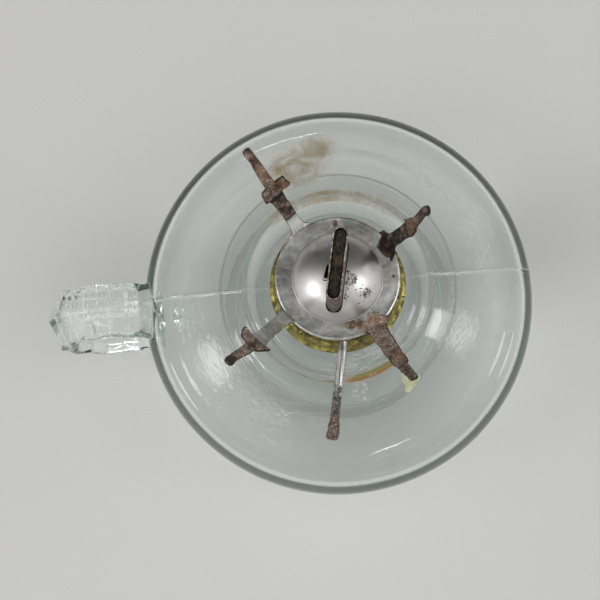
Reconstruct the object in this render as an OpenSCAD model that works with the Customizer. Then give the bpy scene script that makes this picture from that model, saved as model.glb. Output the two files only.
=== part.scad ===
// Kerosene finger lamp: a squat pressed-glass font with a faceted finger handle, a brass
// collar and a flat-wick burner whose four T-headed prongs have been splayed outwards.
// +Z is up, the origin is the centre of the foot, and the handle points along -X.
// The burner's own pieces are drawn with the wick's width along Y, and are turned together.

/* [Glass font] */
// Widest diameter of the font
font_d = 100; // [97:0.5:104]
// Height of the widest point
belly_z = 26; // [24:0.5:27]
// Outer diameter of the foot ring
foot_d = 64; // [60:0.5:66]
// Thickness of the glass wall
glass_wall = 4.2; // [3.6:0.1:4.6]
// Outer diameter of the ring at the foot of the neck
neck_ring_d = 47.6; // [46.5:0.1:49]
// Outer diameter of the faint step on the shoulder
step_ring_d = 59; // [58:0.5:62]

/* [Finger handle] */
// How far the handle reaches from the lamp's axis
handle_reach = 76; // [75:0.5:79]
// Width of the handle at its broad facet edges
handle_w = 14.6; // [13:0.2:16]
// Thickness of the handle's limb
handle_t = 8; // [7:0.2:8.6]

/* [Collar] */
// Bore of the collar, which the burner screws into
collar_bore_d = 22.22; // [22.1:0.02:22.4]
// Diameter of the collar's flared skirt
collar_d = 33.8; // [32.6:0.1:34.2]

/* [Burner] */
// Turn of the whole burner in its collar, in degrees
burner_turn = -10.6; // [-30:0.2:30]
// Diameter of the prong gallery's plate
plate_d = 30.4; // [29.6:0.1:31]
// Diameter of the dome
dome_d = 22.2; // [21:0.1:22.4]
// Rise of the dome above the plate
dome_rise = 5.6; // [5:0.1:6.4]
// Number of air holes round the basket, counting the place of the spindle
air_holes = 22; // [18:1:24]
// Diameter of each air hole
air_hole_d = 2.3; // [1.6:0.1:2.5]

/* [Prongs] */
// Length of a prong from the plate's edge to its tip
prong_l = 30; // [26:0.5:32]
// Width of the prong's stem
prong_w = 3.3; // [2.8:0.1:3.6]
// Width across the prong's T-head
prong_head_w = 8.4; // [7.4:0.1:9]
// Distance from the plate's edge to the T-head
prong_head_at = 14.6; // [13:0.2:16]
// Thickness of the sheet
prong_t = 0.6; // [0.5:0.05:0.8]

/* [Wick and raiser] */
// Width of the wick tube, outside
tube_w = 16.8; // [16.4:0.1:17.2]
// Thickness of the wick tube, outside
tube_t = 3.2; // [3.1:0.05:3.4]
// Height of the wick tube's rim
tube_top = 80; // [76:0.5:84]
// Diameter of the raiser spindle
spindle_d = 1.9; // [1.8:0.05:2]
// Reach of the spindle from the lamp's axis
spindle_reach = 39; // [32:0.5:42]
// Teeth on each star wheel
star_teeth = 9; // [8:1:10]

/* [Hidden] */

$fn = 96;
sheet = 0.45;                       // thickness of the burner's sheet brass
fit = 0.08;                         // radial clearance of a running fit

// Glass
font_r = font_d / 2;
foot_r = foot_d / 2;
foot_recess = 2;                    // depth of the hollow inside the foot ring
foot_ring_w = 5;                    // width of the ring that the lamp stands on
waist = [foot_r - 0.8, 4.2];        // where the foot meets the bowl
floor_z = 6.6;                      // top of the glass floor
shoulder = [font_r - 5.5, 35.2];    // where the side rolls over into the shoulder
neck_top = 51.8;
neck_r = 14.6;
neck_in_r = 12.3;
neck_ring_r = neck_ring_d / 2;
step_ring_r = step_ring_d / 2;
curve_n = 10;                       // chords to each curve of an outline
foot_join = 8.3;                    // the one pressing is held as four rings, which meet at
shoulder_join = 30;                 // these two heights and at this radius
neck_join_r = 22;

// Handle: the limb's centre line is an ellipse in the XZ plane
loop_c = [-58, 21];                 // centre of the finger loop
loop_rx = handle_reach + loop_c[0] - handle_t / 2;
loop_rz = 13.6;
facet_turn = 23.5;                  // degrees of the loop to each facet
facet_first = 36;                   // both ends start inside the glass wall
facet_n = 13;
facet_dip = 0.7;                    // narrowing at every other facet edge
root_flare = 2;                     // widening of the ends, each side

// Collar and its plaster
bore_r = collar_bore_d / 2;
collar_top = 53;
collar_low = 48.7;
collar_skirt_r = 15.7;
collar_tube_low = 45.6;
collar_wall = 0.5;

// Burner, from the bottom up
shell_low = 44.6;
shell_r = bore_r - fit;
base_z = collar_top + 0.05;
base_r = 14.2;
basket_r = 14.2;
basket_z = base_z + sheet;
plate_top = 60;
plate_r = plate_d / 2;
plate_bottom = plate_top - prong_t;
lip_drop = 1.5;
dome_hole_r = 9.4;
dome_r = dome_d / 2;
dome_step = 0.6;

// Wick, tube and vent
tube_wall = 0.4;
tube_low = 42;
slot_gap = 0.12;
wick_w = 15.4;
wick_t = 1.8;
wick_low = 17;
wick_top = tube_top - 0.4;
vent_w = 3.8;
vent_t = 1.5;
vent_wall = 0.3;
vent_top = 67.6;

// Raiser
spindle_r = spindle_d / 2;
bearing_r = spindle_r + 0.07;
spindle_x = 3.2;                    // spindle's axis beside the tube's middle
spindle_z = 56.3;
star_r = spindle_x - wick_t / 2 - 0.1;
star_root_r = 1.35;
star_w = 0.8;
star_pitch = 4.8;
window_h = 3.8;
window_w = star_w + 0.7;
box_x = 6;
box_y = 7.5;
box_low = basket_z;
box_top = 59.1;
sleeve_r = 1.7;
spindle_in = 8.8;                   // inner end of the spindle, on the far side of the tube
spindle_out = sqrt(spindle_reach * spindle_reach - spindle_x * spindle_x);
seat_l = 6;                         // swollen end that the thumb disc was pressed on
seat_r = 1.25;

// Each prong: direction of its root, sideways skew of its blade, lean above the plate
PRONGS = [[41, -16, 76], [131, 8, 55], [222.5, 11, 51], [313, -7, 57]];
prong_bend_r = 1.6;
prong_curl_l = 3;
prong_curl = 28;

// ---- outlines ----

// A cubic curve from p[0] to p[3], without its last point
function cubic(p, n = curve_n) = [for (i = [0:n - 1]) let (t = i / n, s = 1 - t)
    s * s * s * p[0] + 3 * s * s * t * p[1] + 3 * s * t * t * p[2] + t * t * t * p[3]];

// An arc about c from angle a to angle b
function arc(c, r, a, b, n = 6) = [for (i = [0:n]) let (t = a + (b - a) * i / n)
    c + r * [cos(t), sin(t)]];

// Outside of the glass, from the middle of the foot up to the neck
function font_outside() = concat(
    [[0, foot_recess + 0.6], [foot_r - foot_ring_w - 1.2, foot_recess]],
    arc([foot_r - foot_ring_w + 0.8, 0.8], 0.8, 180, 270, 3),
    arc([foot_r - 1, 1], 1, 270, 360, 4),
    [[foot_r - 0.1, 2.4]],
    cubic([waist, [font_r - 9, 4.6], [font_r, belly_z - 13], [font_r, belly_z]], 16),
    cubic([[font_r, belly_z], [font_r, belly_z + 4.6], shoulder + [3.7, -1.8], shoulder], 12),
    cubic([shoulder, shoulder + [-6.5, 3.2], [step_ring_r + 3, 41.6], [step_ring_r + 0.5, 42.6]]),
    [[step_ring_r, 43.2]],
    cubic([[step_ring_r - 0.6, 43.6], [step_ring_r - 2, 44.2],
           [neck_ring_r + 1.6, 45], [neck_ring_r + 0.3, 45.6]], 4),
    arc([neck_ring_r - 1, 46.9], 1, 0, 110, 6),
    cubic([[neck_ring_r - 3, 47.3], [17.6, 46.6], [neck_r + 0.3, 47.6], [neck_r, 49.8]]),
    [[neck_r, 49.8], [neck_r, neck_top]]
);

// Inside of the glass, from the neck down to the middle of the floor
function font_inside() = concat(
    [[neck_in_r, neck_top]],
    cubic([[neck_in_r, 44.8], [neck_in_r + 0.6, 42], [neck_in_r + 4, 42.6], [neck_join_r, 41.4]], 6),
    cubic([[neck_join_r, 41.4], [31, 38.8], shoulder + [-8, -2], shoulder + [-4, -5]]),
    cubic([shoulder + [-4, -5], shoulder + [-1.6, -7], [font_r - glass_wall, belly_z + 3],
           [font_r - glass_wall, belly_z - 1]], 6),
    cubic([[font_r - glass_wall, belly_z - 1], [font_r - glass_wall, belly_z - 11],
           [font_r - 12, floor_z + 1.4], [foot_r - 4, floor_z + 0.4]], 12),
    [[0, floor_z]]
);

// ---- glass ----

module font_block() {
    rotate_extrude() polygon(concat(font_outside(), [[0, neck_top]]));
}

// The part of the glass between two heights and two radii
module glass_ring(low, high, inner = 0, outer = font_r + 1) {
    color([0.86, 0.92, 0.89, 0.35]) rotate_extrude() intersection() {
        polygon(concat(font_outside(), font_inside()));
        translate([inner, low]) square([outer - inner, high - low]);
    }
}

module glass_foot() { glass_ring(0, foot_join); }
module glass_font() { glass_ring(foot_join, shoulder_join); }
module glass_shoulder() { glass_ring(shoulder_join, neck_top, inner = neck_join_r); }
module glass_neck() { glass_ring(shoulder_join, neck_top, outer = neck_join_r); }

// One side's corners of the limb's section, as [share of half width, share of half thickness]
function limb_side() = [[0, 1], [1, 0.22], [1, -0.3], [0.62, -0.86], [0, -0.96]];

// Section of the limb at station i: across Y and along the loop's outward normal
function limb_section(i) =
    let (flare = i == 0 || i == facet_n ? root_flare : 0,
         half = [handle_w / 2 + flare - (i % 2) * facet_dip, handle_t / 2], s = limb_side())
    concat([for (p = s) [p[0] * half[0], p[1] * half[1]]],
           [for (k = [len(s) - 2:-1:1]) [-s[k][0] * half[0], s[k][1] * half[1]]]);

// Faceted loop: sections set round the ellipse, joined edge to edge
module limb() {
    ring = 2 * len(limb_side()) - 2;
    points = [for (i = [0:facet_n]) let (
        a = facet_first + i * facet_turn,
        c = [loop_c[0] + loop_rx * cos(a), loop_c[1] + loop_rz * sin(a)],
        n = [cos(a), sin(a)])
        for (q = limb_section(i)) [c[0] + n[0] * q[1], q[0], c[1] + n[1] * q[1]]];
    sides = [for (i = [0:facet_n - 1], k = [0:ring - 1]) let (
        a = i * ring + k, b = i * ring + (k + 1) % ring)
        for (t = [[a, b, b + ring], [a, b + ring, a + ring]]) t];
    first = [for (k = [1:ring - 2]) [0, k + 1, k]];
    last = [for (k = [1:ring - 2]) let (o = facet_n * ring) [o, o + k, o + k + 1]];
    polyhedron(points, concat(sides, first, last));
}

module glass_handle() {
    color([0.84, 0.92, 0.88, 0.4]) difference() {
        limb();
        font_block();
    }
}

// ---- collar ----

module collar_plaster() {
    tube_r = bore_r + collar_wall;
    skirt_in = collar_skirt_r - collar_wall;
    under_top = collar_top - collar_wall;
    color([0.86, 0.84, 0.78]) rotate_extrude() polygon([
        [tube_r, collar_tube_low + 1], [neck_in_r, collar_tube_low + 1], [neck_in_r, neck_top],
        [neck_r, neck_top], [neck_r, 50.1], [skirt_in, 50.1], [skirt_in, under_top],
        [tube_r, under_top]]);
}

module brass_collar() {
    tube_r = bore_r + collar_wall;
    skirt_in = collar_skirt_r - collar_wall;
    flare = collar_d / 2;
    color([0.72, 0.62, 0.25]) rotate_extrude() polygon(concat(
        [[bore_r, collar_tube_low], [tube_r, collar_tube_low], [tube_r, collar_top - collar_wall],
         [skirt_in, collar_top - collar_wall], [skirt_in, collar_low + 0.9],
         [flare - 0.3, collar_low], [flare, collar_low + 0.3],
         [collar_skirt_r, collar_low + 1.2]],
        arc([collar_skirt_r - 0.7, collar_top - 0.7], 0.7, 0, 90, 4),
        [[bore_r, collar_top]]));
}

// ---- burner ----

// A flat-sided oval, w long in Y and t thick in X
module oval(w, t) {
    square([t, w - t], center = true);
    for (s = [-1, 1]) translate([0, s * (w - t) / 2]) circle(d = t);
}

// Plan of the wick tube and the vent pocket together, grown by g, which the sheets are cut for
module passage(g = 0) {
    oval(tube_w + 2 * g, tube_t + 2 * g);
    translate([-tube_t / 2 - vent_t / 2, 0]) square([vent_t + 2 * g, vent_w + 2 * g], center = true);
}

module turned() {
    rotate([0, 0, burner_turn]) children();
}

module screw_shell() {
    color([0.7, 0.6, 0.3]) turned() difference() {
        translate([0, 0, shell_low]) cylinder(r = shell_r, h = base_z - shell_low);
        translate([0, 0, shell_low + sheet]) cylinder(r = shell_r - sheet, h = base_z);
        translate([0, 0, shell_low - 1]) linear_extrude(3) passage();
    }
}

module base_plate() {
    color([0.68, 0.58, 0.3]) turned() translate([0, 0, base_z]) linear_extrude(sheet) difference() {
        circle(r = base_r);
        passage();
    }
}

module air_basket() {
    height = plate_bottom - basket_z;
    spindle_at = atan2(-sqrt(basket_r * basket_r - spindle_x * spindle_x), spindle_x);
    color([0.66, 0.62, 0.5]) turned() difference() {
        translate([0, 0, basket_z]) cylinder(r = basket_r, h = height);
        translate([0, 0, basket_z - 1]) cylinder(r = basket_r - sheet, h = height + 2);
        for (k = [1:air_holes - 1])
            rotate([0, 0, spindle_at + k * 360 / air_holes])
                translate([basket_r - 3, 0, basket_z + height / 2])
                    rotate([0, 90, 0]) cylinder(d = air_hole_d, h = 6);
        translate([spindle_x, -basket_r + 3, spindle_z])
            rotate([90, 0, 0]) cylinder(r = sleeve_r, h = 6);
    }
}

// Middle line of a prong in its own upright plane: [distance from the axis, height]
function prong_line(lean) =
    let (
        edge = [plate_r - prong_bend_r * tan(lean / 2), plate_top - prong_t / 2],
        bend = arc(edge + [0, prong_bend_r], prong_bend_r, -90, lean - 90, 5),
        start = bend[len(bend) - 1],
        along = [cos(lean), sin(lean)],
        knee = start + (prong_l - prong_curl_l) * along,
        tip = knee + prong_curl_l * [cos(lean - prong_curl), sin(lean - prong_curl)]
    )
    concat([[plate_r - 4, plate_top - prong_t / 2]], bend, [knee, tip]);

// Outward normal of a line at point i, from the points beside it
function line_normal(p, i) =
    let (a = p[max(i - 1, 0)], b = p[min(i + 1, len(p) - 1)], d = (b - a) / norm(b - a))
    [-d[1], d[0]];

function thick_line(p, t) = concat(
    [for (i = [0:len(p) - 1]) p[i] - line_normal(p, i) * t / 2],
    [for (i = [len(p) - 1:-1:0]) p[i] + line_normal(p, i) * t / 2]);

// Flat pattern of a prong: stem, T-head with rounded arms, tapering tip
module prong_pattern() {
    arm = 2.9;
    translate([-6, -prong_w / 2]) square([prong_head_at + 6.5, prong_w]);
    for (s = [-1, 1]) translate([prong_head_at + arm / 2, s * (prong_head_w - arm) / 2])
        circle(d = arm);
    translate([prong_head_at, -(prong_head_w - arm) / 2]) square([arm, prong_head_w - arm]);
    polygon([[prong_head_at, -prong_w * 0.46], [prong_l, -prong_w * 0.32],
             [prong_l + 2, -prong_w * 0.18], [prong_l + 2, prong_w * 0.18],
             [prong_l, prong_w * 0.32], [prong_head_at, prong_w * 0.46]]);
}

// The bent sheet seen from its side, cut to the flat pattern seen square to the blade
module prong(lean, skew) {
    translate([plate_r - 2, 0, 0]) rotate([0, 0, skew]) translate([2 - plate_r, 0, 0])
    intersection() {
        translate([0, prong_head_w, 0]) rotate([90, 0, 0])
            linear_extrude(2 * prong_head_w) polygon(thick_line(prong_line(lean), prong_t));
        translate([plate_r, 0, plate_top]) rotate([0, -lean, 0])
            translate([0, 0, -8]) linear_extrude(16) prong_pattern();
    }
}

module prong_gallery() {
    color([0.62, 0.56, 0.5]) turned() union() {
        rotate_extrude() polygon(concat(
            [[dome_hole_r, plate_bottom], [plate_r - prong_t, plate_bottom],
             [plate_r - prong_t, plate_top - lip_drop], [plate_r, plate_top - lip_drop]],
            arc([plate_r - 0.5, plate_top - 0.5], 0.5, 0, 90, 3),
            [[dome_hole_r, plate_top]]));
        for (p = PRONGS) rotate([0, 0, p[0]]) prong(p[2], p[1]);
    }
}

module dome() {
    cap_rise = dome_rise - dome_step;
    cap_r = (dome_r * dome_r + cap_rise * cap_rise) / (2 * cap_rise);
    low = plate_top + dome_step;
    foot = asin((dome_r - 0.02) / cap_r);
    inner_foot = asin((dome_r - sheet) / (cap_r - sheet));
    centre = [0, low + cap_rise - cap_r];
    color([0.75, 0.74, 0.7]) turned() difference() {
        rotate_extrude() polygon(concat(
            [[dome_r - sheet, plate_top], [dome_r + 0.7, plate_top], [dome_r + 0.7, plate_top + 0.35],
             [dome_r, plate_top + 0.35]],
            arc(centre, cap_r, 90 - foot, 90, 14),
            arc(centre, cap_r - sheet, 90, 90 - inner_foot, 14)));
        translate([0, 0, plate_top]) linear_extrude(10) passage(slot_gap);
    }
}

// ---- wick tube, vent and ratchet ----

module wick_tube() {
    color([0.6, 0.56, 0.48]) turned() difference() {
        translate([0, 0, tube_low]) linear_extrude(tube_top - tube_low) difference() {
            oval(tube_w, tube_t);
            oval(tube_w - 2 * tube_wall, tube_t - 2 * tube_wall);
        }
        for (k = [-1:1]) translate([tube_t / 2 - tube_wall - 0.2, k * star_pitch - window_w / 2,
                                    spindle_z - window_h / 2])
            cube([1, window_w, window_h]);
    }
}

module vent_pocket() {
    color([0.6, 0.56, 0.48]) turned()
        translate([-tube_t / 2 - vent_t, -vent_w / 2, shell_low])
            linear_extrude(vent_top - shell_low) difference() {
                square([vent_t, vent_w]);
                translate([vent_wall, vent_wall]) square([vent_t, vent_w - 2 * vent_wall]);
            }
}

module ratchet_box() {
    wall = 0.4;
    color([0.7, 0.6, 0.3]) turned() difference() {
        translate([tube_t / 2, -box_y, box_low]) cube([box_x - tube_t / 2, 2 * box_y, box_top - box_low]);
        translate([tube_t / 2 - 1, wall - box_y, box_low - 1])
            cube([box_x - tube_t / 2 + 1 - wall, 2 * (box_y - wall), box_top - box_low + 1 - wall]);
        translate([spindle_x, box_y + 1, spindle_z])
            rotate([90, 0, 0]) cylinder(r = bearing_r, h = 2 * box_y + 2);
    }
}

module along_spindle(from, to) {
    translate([spindle_x, -from, spindle_z]) rotate([90, 0, 0]) linear_extrude(to - from) children();
}

module spindle_sleeve() {
    color([0.7, 0.6, 0.3]) turned() along_spindle(box_y, basket_r + 0.5) difference() {
        circle(r = sleeve_r);
        circle(r = bearing_r);
    }
}

module spindle() {
    chamfer = 0.25;
    length = spindle_in + spindle_out;
    color([0.62, 0.6, 0.56]) turned() translate([spindle_x, spindle_in, spindle_z])
        rotate([90, 0, 0]) rotate_extrude() polygon([
            [0, 0], [spindle_r - chamfer, 0], [spindle_r, chamfer], [spindle_r, length - seat_l],
            [seat_r, length - seat_l], [seat_r, length - chamfer], [seat_r - chamfer, length],
            [0, length]]);
}

module star_wheel(k) {
    step = 360 / star_teeth;
    color([0.66, 0.58, 0.34]) turned()
        along_spindle(k * star_pitch - star_w / 2, k * star_pitch + star_w / 2) difference() {
            polygon([for (i = [0:star_teeth - 1], s = [0, 1])
                (s == 0 ? star_r : star_root_r) * [cos((i + s / 2) * step), sin((i + s / 2) * step)]]);
            circle(r = spindle_r);
        }
}

module star_wheel_1() { star_wheel(-1); }
module star_wheel_2() { star_wheel(0); }
module star_wheel_3() { star_wheel(1); }

module retaining_ring() {
    color([0.66, 0.58, 0.34]) turned() along_spindle(-box_y - 0.8, -box_y - 0.15) difference() {
        circle(r = sleeve_r);
        circle(r = spindle_r);
    }
}

module wick() {
    color([0.75, 0.7, 0.6]) turned()
        translate([0, 0, wick_low]) linear_extrude(wick_top - wick_low) oval(wick_w, wick_t);
}

glass_foot();
glass_font();
glass_shoulder();
glass_neck();
glass_handle();
collar_plaster();
brass_collar();
screw_shell();
base_plate();
air_basket();
prong_gallery();
dome();
wick_tube();
vent_pocket();
ratchet_box();
spindle_sleeve();
spindle();
star_wheel_1();
star_wheel_2();
star_wheel_3();
retaining_ring();
wick();
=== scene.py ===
"""Kerosene finger lamp: the looks of its glass, burner, prongs, wick and raiser.

Every size is in metres. Outlines are written in millimetres and scaled by MM.
"""

import itertools
import math

import bmesh
import bpy
import numpy as np
from bpy.props import FloatProperty, FloatVectorProperty, IntProperty, PointerProperty
from mathutils import Euler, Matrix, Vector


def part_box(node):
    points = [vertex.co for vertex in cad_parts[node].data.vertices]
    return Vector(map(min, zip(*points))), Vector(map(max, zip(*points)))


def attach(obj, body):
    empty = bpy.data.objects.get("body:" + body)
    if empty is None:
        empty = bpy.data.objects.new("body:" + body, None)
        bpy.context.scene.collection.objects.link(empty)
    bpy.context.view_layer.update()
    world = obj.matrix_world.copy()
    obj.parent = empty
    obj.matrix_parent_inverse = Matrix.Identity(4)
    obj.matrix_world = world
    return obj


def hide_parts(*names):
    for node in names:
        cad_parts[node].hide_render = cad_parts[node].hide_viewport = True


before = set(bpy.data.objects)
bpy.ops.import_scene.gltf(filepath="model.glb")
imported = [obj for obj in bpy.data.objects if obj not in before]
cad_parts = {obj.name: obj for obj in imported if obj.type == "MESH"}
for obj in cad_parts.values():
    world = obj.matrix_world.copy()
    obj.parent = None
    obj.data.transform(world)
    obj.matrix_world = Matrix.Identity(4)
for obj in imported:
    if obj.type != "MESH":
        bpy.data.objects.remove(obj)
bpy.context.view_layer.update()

bl_info = {
    "name": "Kerosene finger lamp",
    "version": (1, 0, 0),
    "blender": (4, 5, 0),
    "location": "View3D > Sidebar > Lamp",
    "description": "Builds a pressed-glass finger lamp with a flat-wick burner",
    "category": "Add Mesh",
}

MM = 0.001

# Heights and radii that the pieces share, from the frame
BURNER_TURN = math.radians(-10.6)
PLATE_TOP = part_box("dome")[0].z / MM
TUBE_LOW, TUBE_TOP = (corner.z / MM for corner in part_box("wick_tube"))
WICK_LOW, WICK_TOP = (corner.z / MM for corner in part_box("wick"))
SHELL_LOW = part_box("screw_shell")[0].z / MM
COLLAR_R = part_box("brass_collar")[1].x / MM
COLLAR_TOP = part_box("brass_collar")[1].z / MM
VENT_LOW, VENT_TOP = (corner.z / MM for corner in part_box("vent_pocket"))

# ---------------------------------------------------------------- surfaces


def cubic(p0, p1, p2, p3, n):
    """n points on the cubic curve with these four control points, without its end."""
    t = np.linspace(0, 1, n, endpoint=False)[:, None]
    a, b, c, d = (np.array(p, float) for p in (p0, p1, p2, p3))
    return (1 - t) ** 3 * a + 3 * t * (1 - t) ** 2 * b + 3 * t**2 * (1 - t) * c + t**3 * d


def arc(centre, radius, start, end, n):
    """n points on the arc about centre between two angles in degrees, both ends included."""
    a = np.radians(np.linspace(start, end, n))
    return np.array(centre) + radius * np.stack([np.cos(a), np.sin(a)], -1)


def line(p, q, n):
    """n points on the straight line from p towards q, without q."""
    t = np.linspace(0, 1, n, endpoint=False)[:, None]
    return np.array(p, float) * (1 - t) + np.array(q, float) * t


def full_turn(n):
    """n angles that share out a full turn."""
    return np.linspace(0, 2 * math.pi, n, endpoint=False)


def held(values):
    """The values held between 0 and 1."""
    return np.clip(values, 0, 1)


def bell(x):
    """Bell curve: 1 at 0, falling off to both sides over about one."""
    return np.exp(-(x**2))


def from_axis(points):
    """Distance of each point from the lamp's axis."""
    return np.hypot(points[..., 0], points[..., 1])


# Odd factors that scatter the noise's cells and stir the result, and a shift that keeps the cells'
# numbers above 0
SCATTER = (73856093, 19349663, 83492791, 2654435)
STIR = 1274126177
SHIFT = 4096.37


def noise(points, size, seed):
    """Smooth random height from -1 to 1.

    Random values stand on a cubic lattice of cells of that size, and a point takes the eight
    corners of its cell, each weighted by a smoothstep of its nearness.
    """
    q = np.asarray(points) / size + SHIFT
    cell = np.floor(q).astype(np.int64)
    near = q - cell
    near = near * near * (3 - 2 * near)
    total = np.zeros(q.shape[:-1])
    for corner in itertools.product((0, 1), repeat=3):
        x, y, z = np.moveaxis((cell + np.array(corner)) * SCATTER[:3], -1, 0)
        mixed = x ^ y ^ z ^ (seed * SCATTER[3])
        mixed = (mixed ^ (mixed >> 13)) * STIR & 0x7FFFFFFF
        value = ((mixed ^ (mixed >> 16)) & 0xFFFF) / 32767.5 - 1
        total += value * np.prod(np.where(corner, near, 1 - near), -1)
    return total


def layered(points, size, seed):
    """Four layers of noise, each at half the size and height of the last, from about -1 to 1."""
    return sum(noise(points, size / 2**k, seed + k) / 2**k for k in range(4)) / 1.9


def placed(name, data):
    """A new object in the scene with this mesh, light or camera."""
    obj = bpy.data.objects.new(name, data)
    bpy.context.scene.collection.objects.link(obj)
    return obj


def raw_piece(name, points, faces, merge=False):
    """An object at the origin with these points and faces, its faces turned outwards.

    merge makes one point of those that lie together.
    """
    mesh = bpy.data.meshes.new(name)
    mesh.from_pydata(np.asarray(points).tolist(), [], faces)
    bm = bmesh.new()
    bm.from_mesh(mesh)
    if merge:
        bmesh.ops.remove_doubles(bm, verts=bm.verts, dist=1e-7)
    bmesh.ops.recalc_face_normals(bm, faces=bm.faces)
    bm.to_mesh(mesh)
    bm.free()
    return placed(name, mesh)


def mesh_from_grid(name, grid, ring=False):
    """Quads between neighbouring rows of an array of points (rows, columns, 3).

    The last column joins the first. The last row of a ring lies on its first and is merged with
    it. Otherwise a fan of triangles to its middle closes each of the two end rows.
    """
    rows, cols = grid.shape[:2]
    index = np.arange(rows * cols).reshape(rows, cols)
    beside = np.roll(index, -1, 1)
    faces = np.stack([index[:-1], beside[:-1], beside[1:], index[1:]], -1).reshape(-1, 4).tolist()
    points = grid.reshape(-1, 3)
    if not ring:
        points = np.concatenate([points, [grid[0].mean(0), grid[-1].mean(0)]])
        faces += [[b, a, rows * cols] for a, b in zip(index[0].tolist(), beside[0].tolist())]
        faces += [[a, b, rows * cols + 1] for a, b in zip(index[-1].tolist(), beside[-1].tolist())]
    return raw_piece(name, points, faces, merge=ring)


def spun(outline, angles):
    """The outline's points (radius, height) carried round the lamp's axis: rows along the outline."""
    r, z = outline[:, 0, None], outline[:, 1, None]
    return np.stack([r * np.cos(angles), r * np.sin(angles), z + 0 * angles], -1)


def joined(name, pieces):
    """One object with the meshes of several, which are then removed."""
    bm = bmesh.new()
    for p in pieces:
        bm.from_mesh(p.data)
        bpy.data.objects.remove(p)
    mesh = bpy.data.meshes.new(name)
    bm.to_mesh(mesh)
    bm.free()
    return placed(name, mesh)


def settle(obj, kind, **settings):
    """Applies a modifier of this kind to the object's own mesh."""
    modifier = obj.modifiers.new(kind, kind)
    for key, value in settings.items():
        setattr(modifier, key, value)
    graph = bpy.context.evaluated_depsgraph_get()
    graph.update()
    mesh = bpy.data.meshes.new_from_object(obj.evaluated_get(graph))
    obj.modifiers.clear()
    obj.data = mesh
    return obj


def cut(obj, cutter, operation="DIFFERENCE"):
    """Takes the cutter's solid from the piece, or adds it, and removes the cutter."""
    settle(obj, "BOOLEAN", object=cutter, operation=operation, solver="EXACT")
    bpy.data.objects.remove(cutter)
    return obj


def turned(points, angle=BURNER_TURN):
    """Points turned about the lamp's axis, from the burner's own directions to the frame's."""
    c, s = math.cos(angle), math.sin(angle)
    return points @ np.array([[c, s, 0], [-s, c, 0], [0, 0, 1]])


def coordinates(obj):
    """Places of the object's points, one in each row."""
    co = np.empty(len(obj.data.vertices) * 3)
    obj.data.vertices.foreach_get("co", co)
    return co.reshape(-1, 3)


def mark(obj, name, values):
    """Stores one value per point, from 0 to 1, for the material to read."""
    layer = obj.data.attributes.new(name, "FLOAT", "POINT")
    layer.data.foreach_set("value", held(values).astype(np.float32))


def dress(obj, material, body, nodes=(), crease=40):
    """Gives the piece its finish, its body and the solids that it replaces.

    Shading is smooth between faces that meet below the crease angle, in degrees.
    """
    obj.data.materials.clear()
    obj.data.materials.append(material)
    obj.data.polygons.foreach_set("use_smooth", [True] * len(obj.data.polygons))
    obj.data.set_sharp_from_angle(angle=math.radians(crease))
    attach(obj, body)
    if nodes:
        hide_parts(*nodes)


# ---------------------------------------------------------------- materials


class Shade:
    """A value that varies over a surface: a node's output. Sums with it add nodes."""

    def __init__(self, finish, socket):
        self.finish = finish
        self.socket = socket

    def math(self, how, other=0.0):
        return self.finish.math(how, self, other)

    def __add__(self, other):
        return self.math("ADD", other)

    def __sub__(self, other):
        return self.math("SUBTRACT", other)

    def __rsub__(self, other):
        return self.finish.math("SUBTRACT", other, self)

    def __mul__(self, other):
        return self.math("MULTIPLY", other)

    def __truediv__(self, other):
        return self.math("DIVIDE", other)

    def __mod__(self, other):
        return self.math("FLOORED_MODULO", other)

    def __abs__(self):
        return self.math("ABSOLUTE")

    def __or__(self, other):
        """The greater of the two."""
        return self.math("MAXIMUM", other)

    def above(self, limit):
        """1 where the value is greater than the limit."""
        return self.math("GREATER_THAN", limit)

    def laid(self, low, high, first, last, how="SMOOTHSTEP"):
        """The value from low to high laid out from first to last, and held beyond them."""
        return self.finish.shade("ShaderNodeMapRange", "Result", {
            "Value": self, "From Min": low, "From Max": high, "To Min": first, "To Max": last},
            interpolation_type=how)

    def ramp(self, low, high):
        """0 at low and 1 at high, smooth between."""
        return self.laid(low, high, 0.0, 1.0)

    def between(self, low, high):
        """The value from 0 to 1 laid out evenly from low to high."""
        return self.laid(0.0, 1.0, low, high, "LINEAR")


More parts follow.
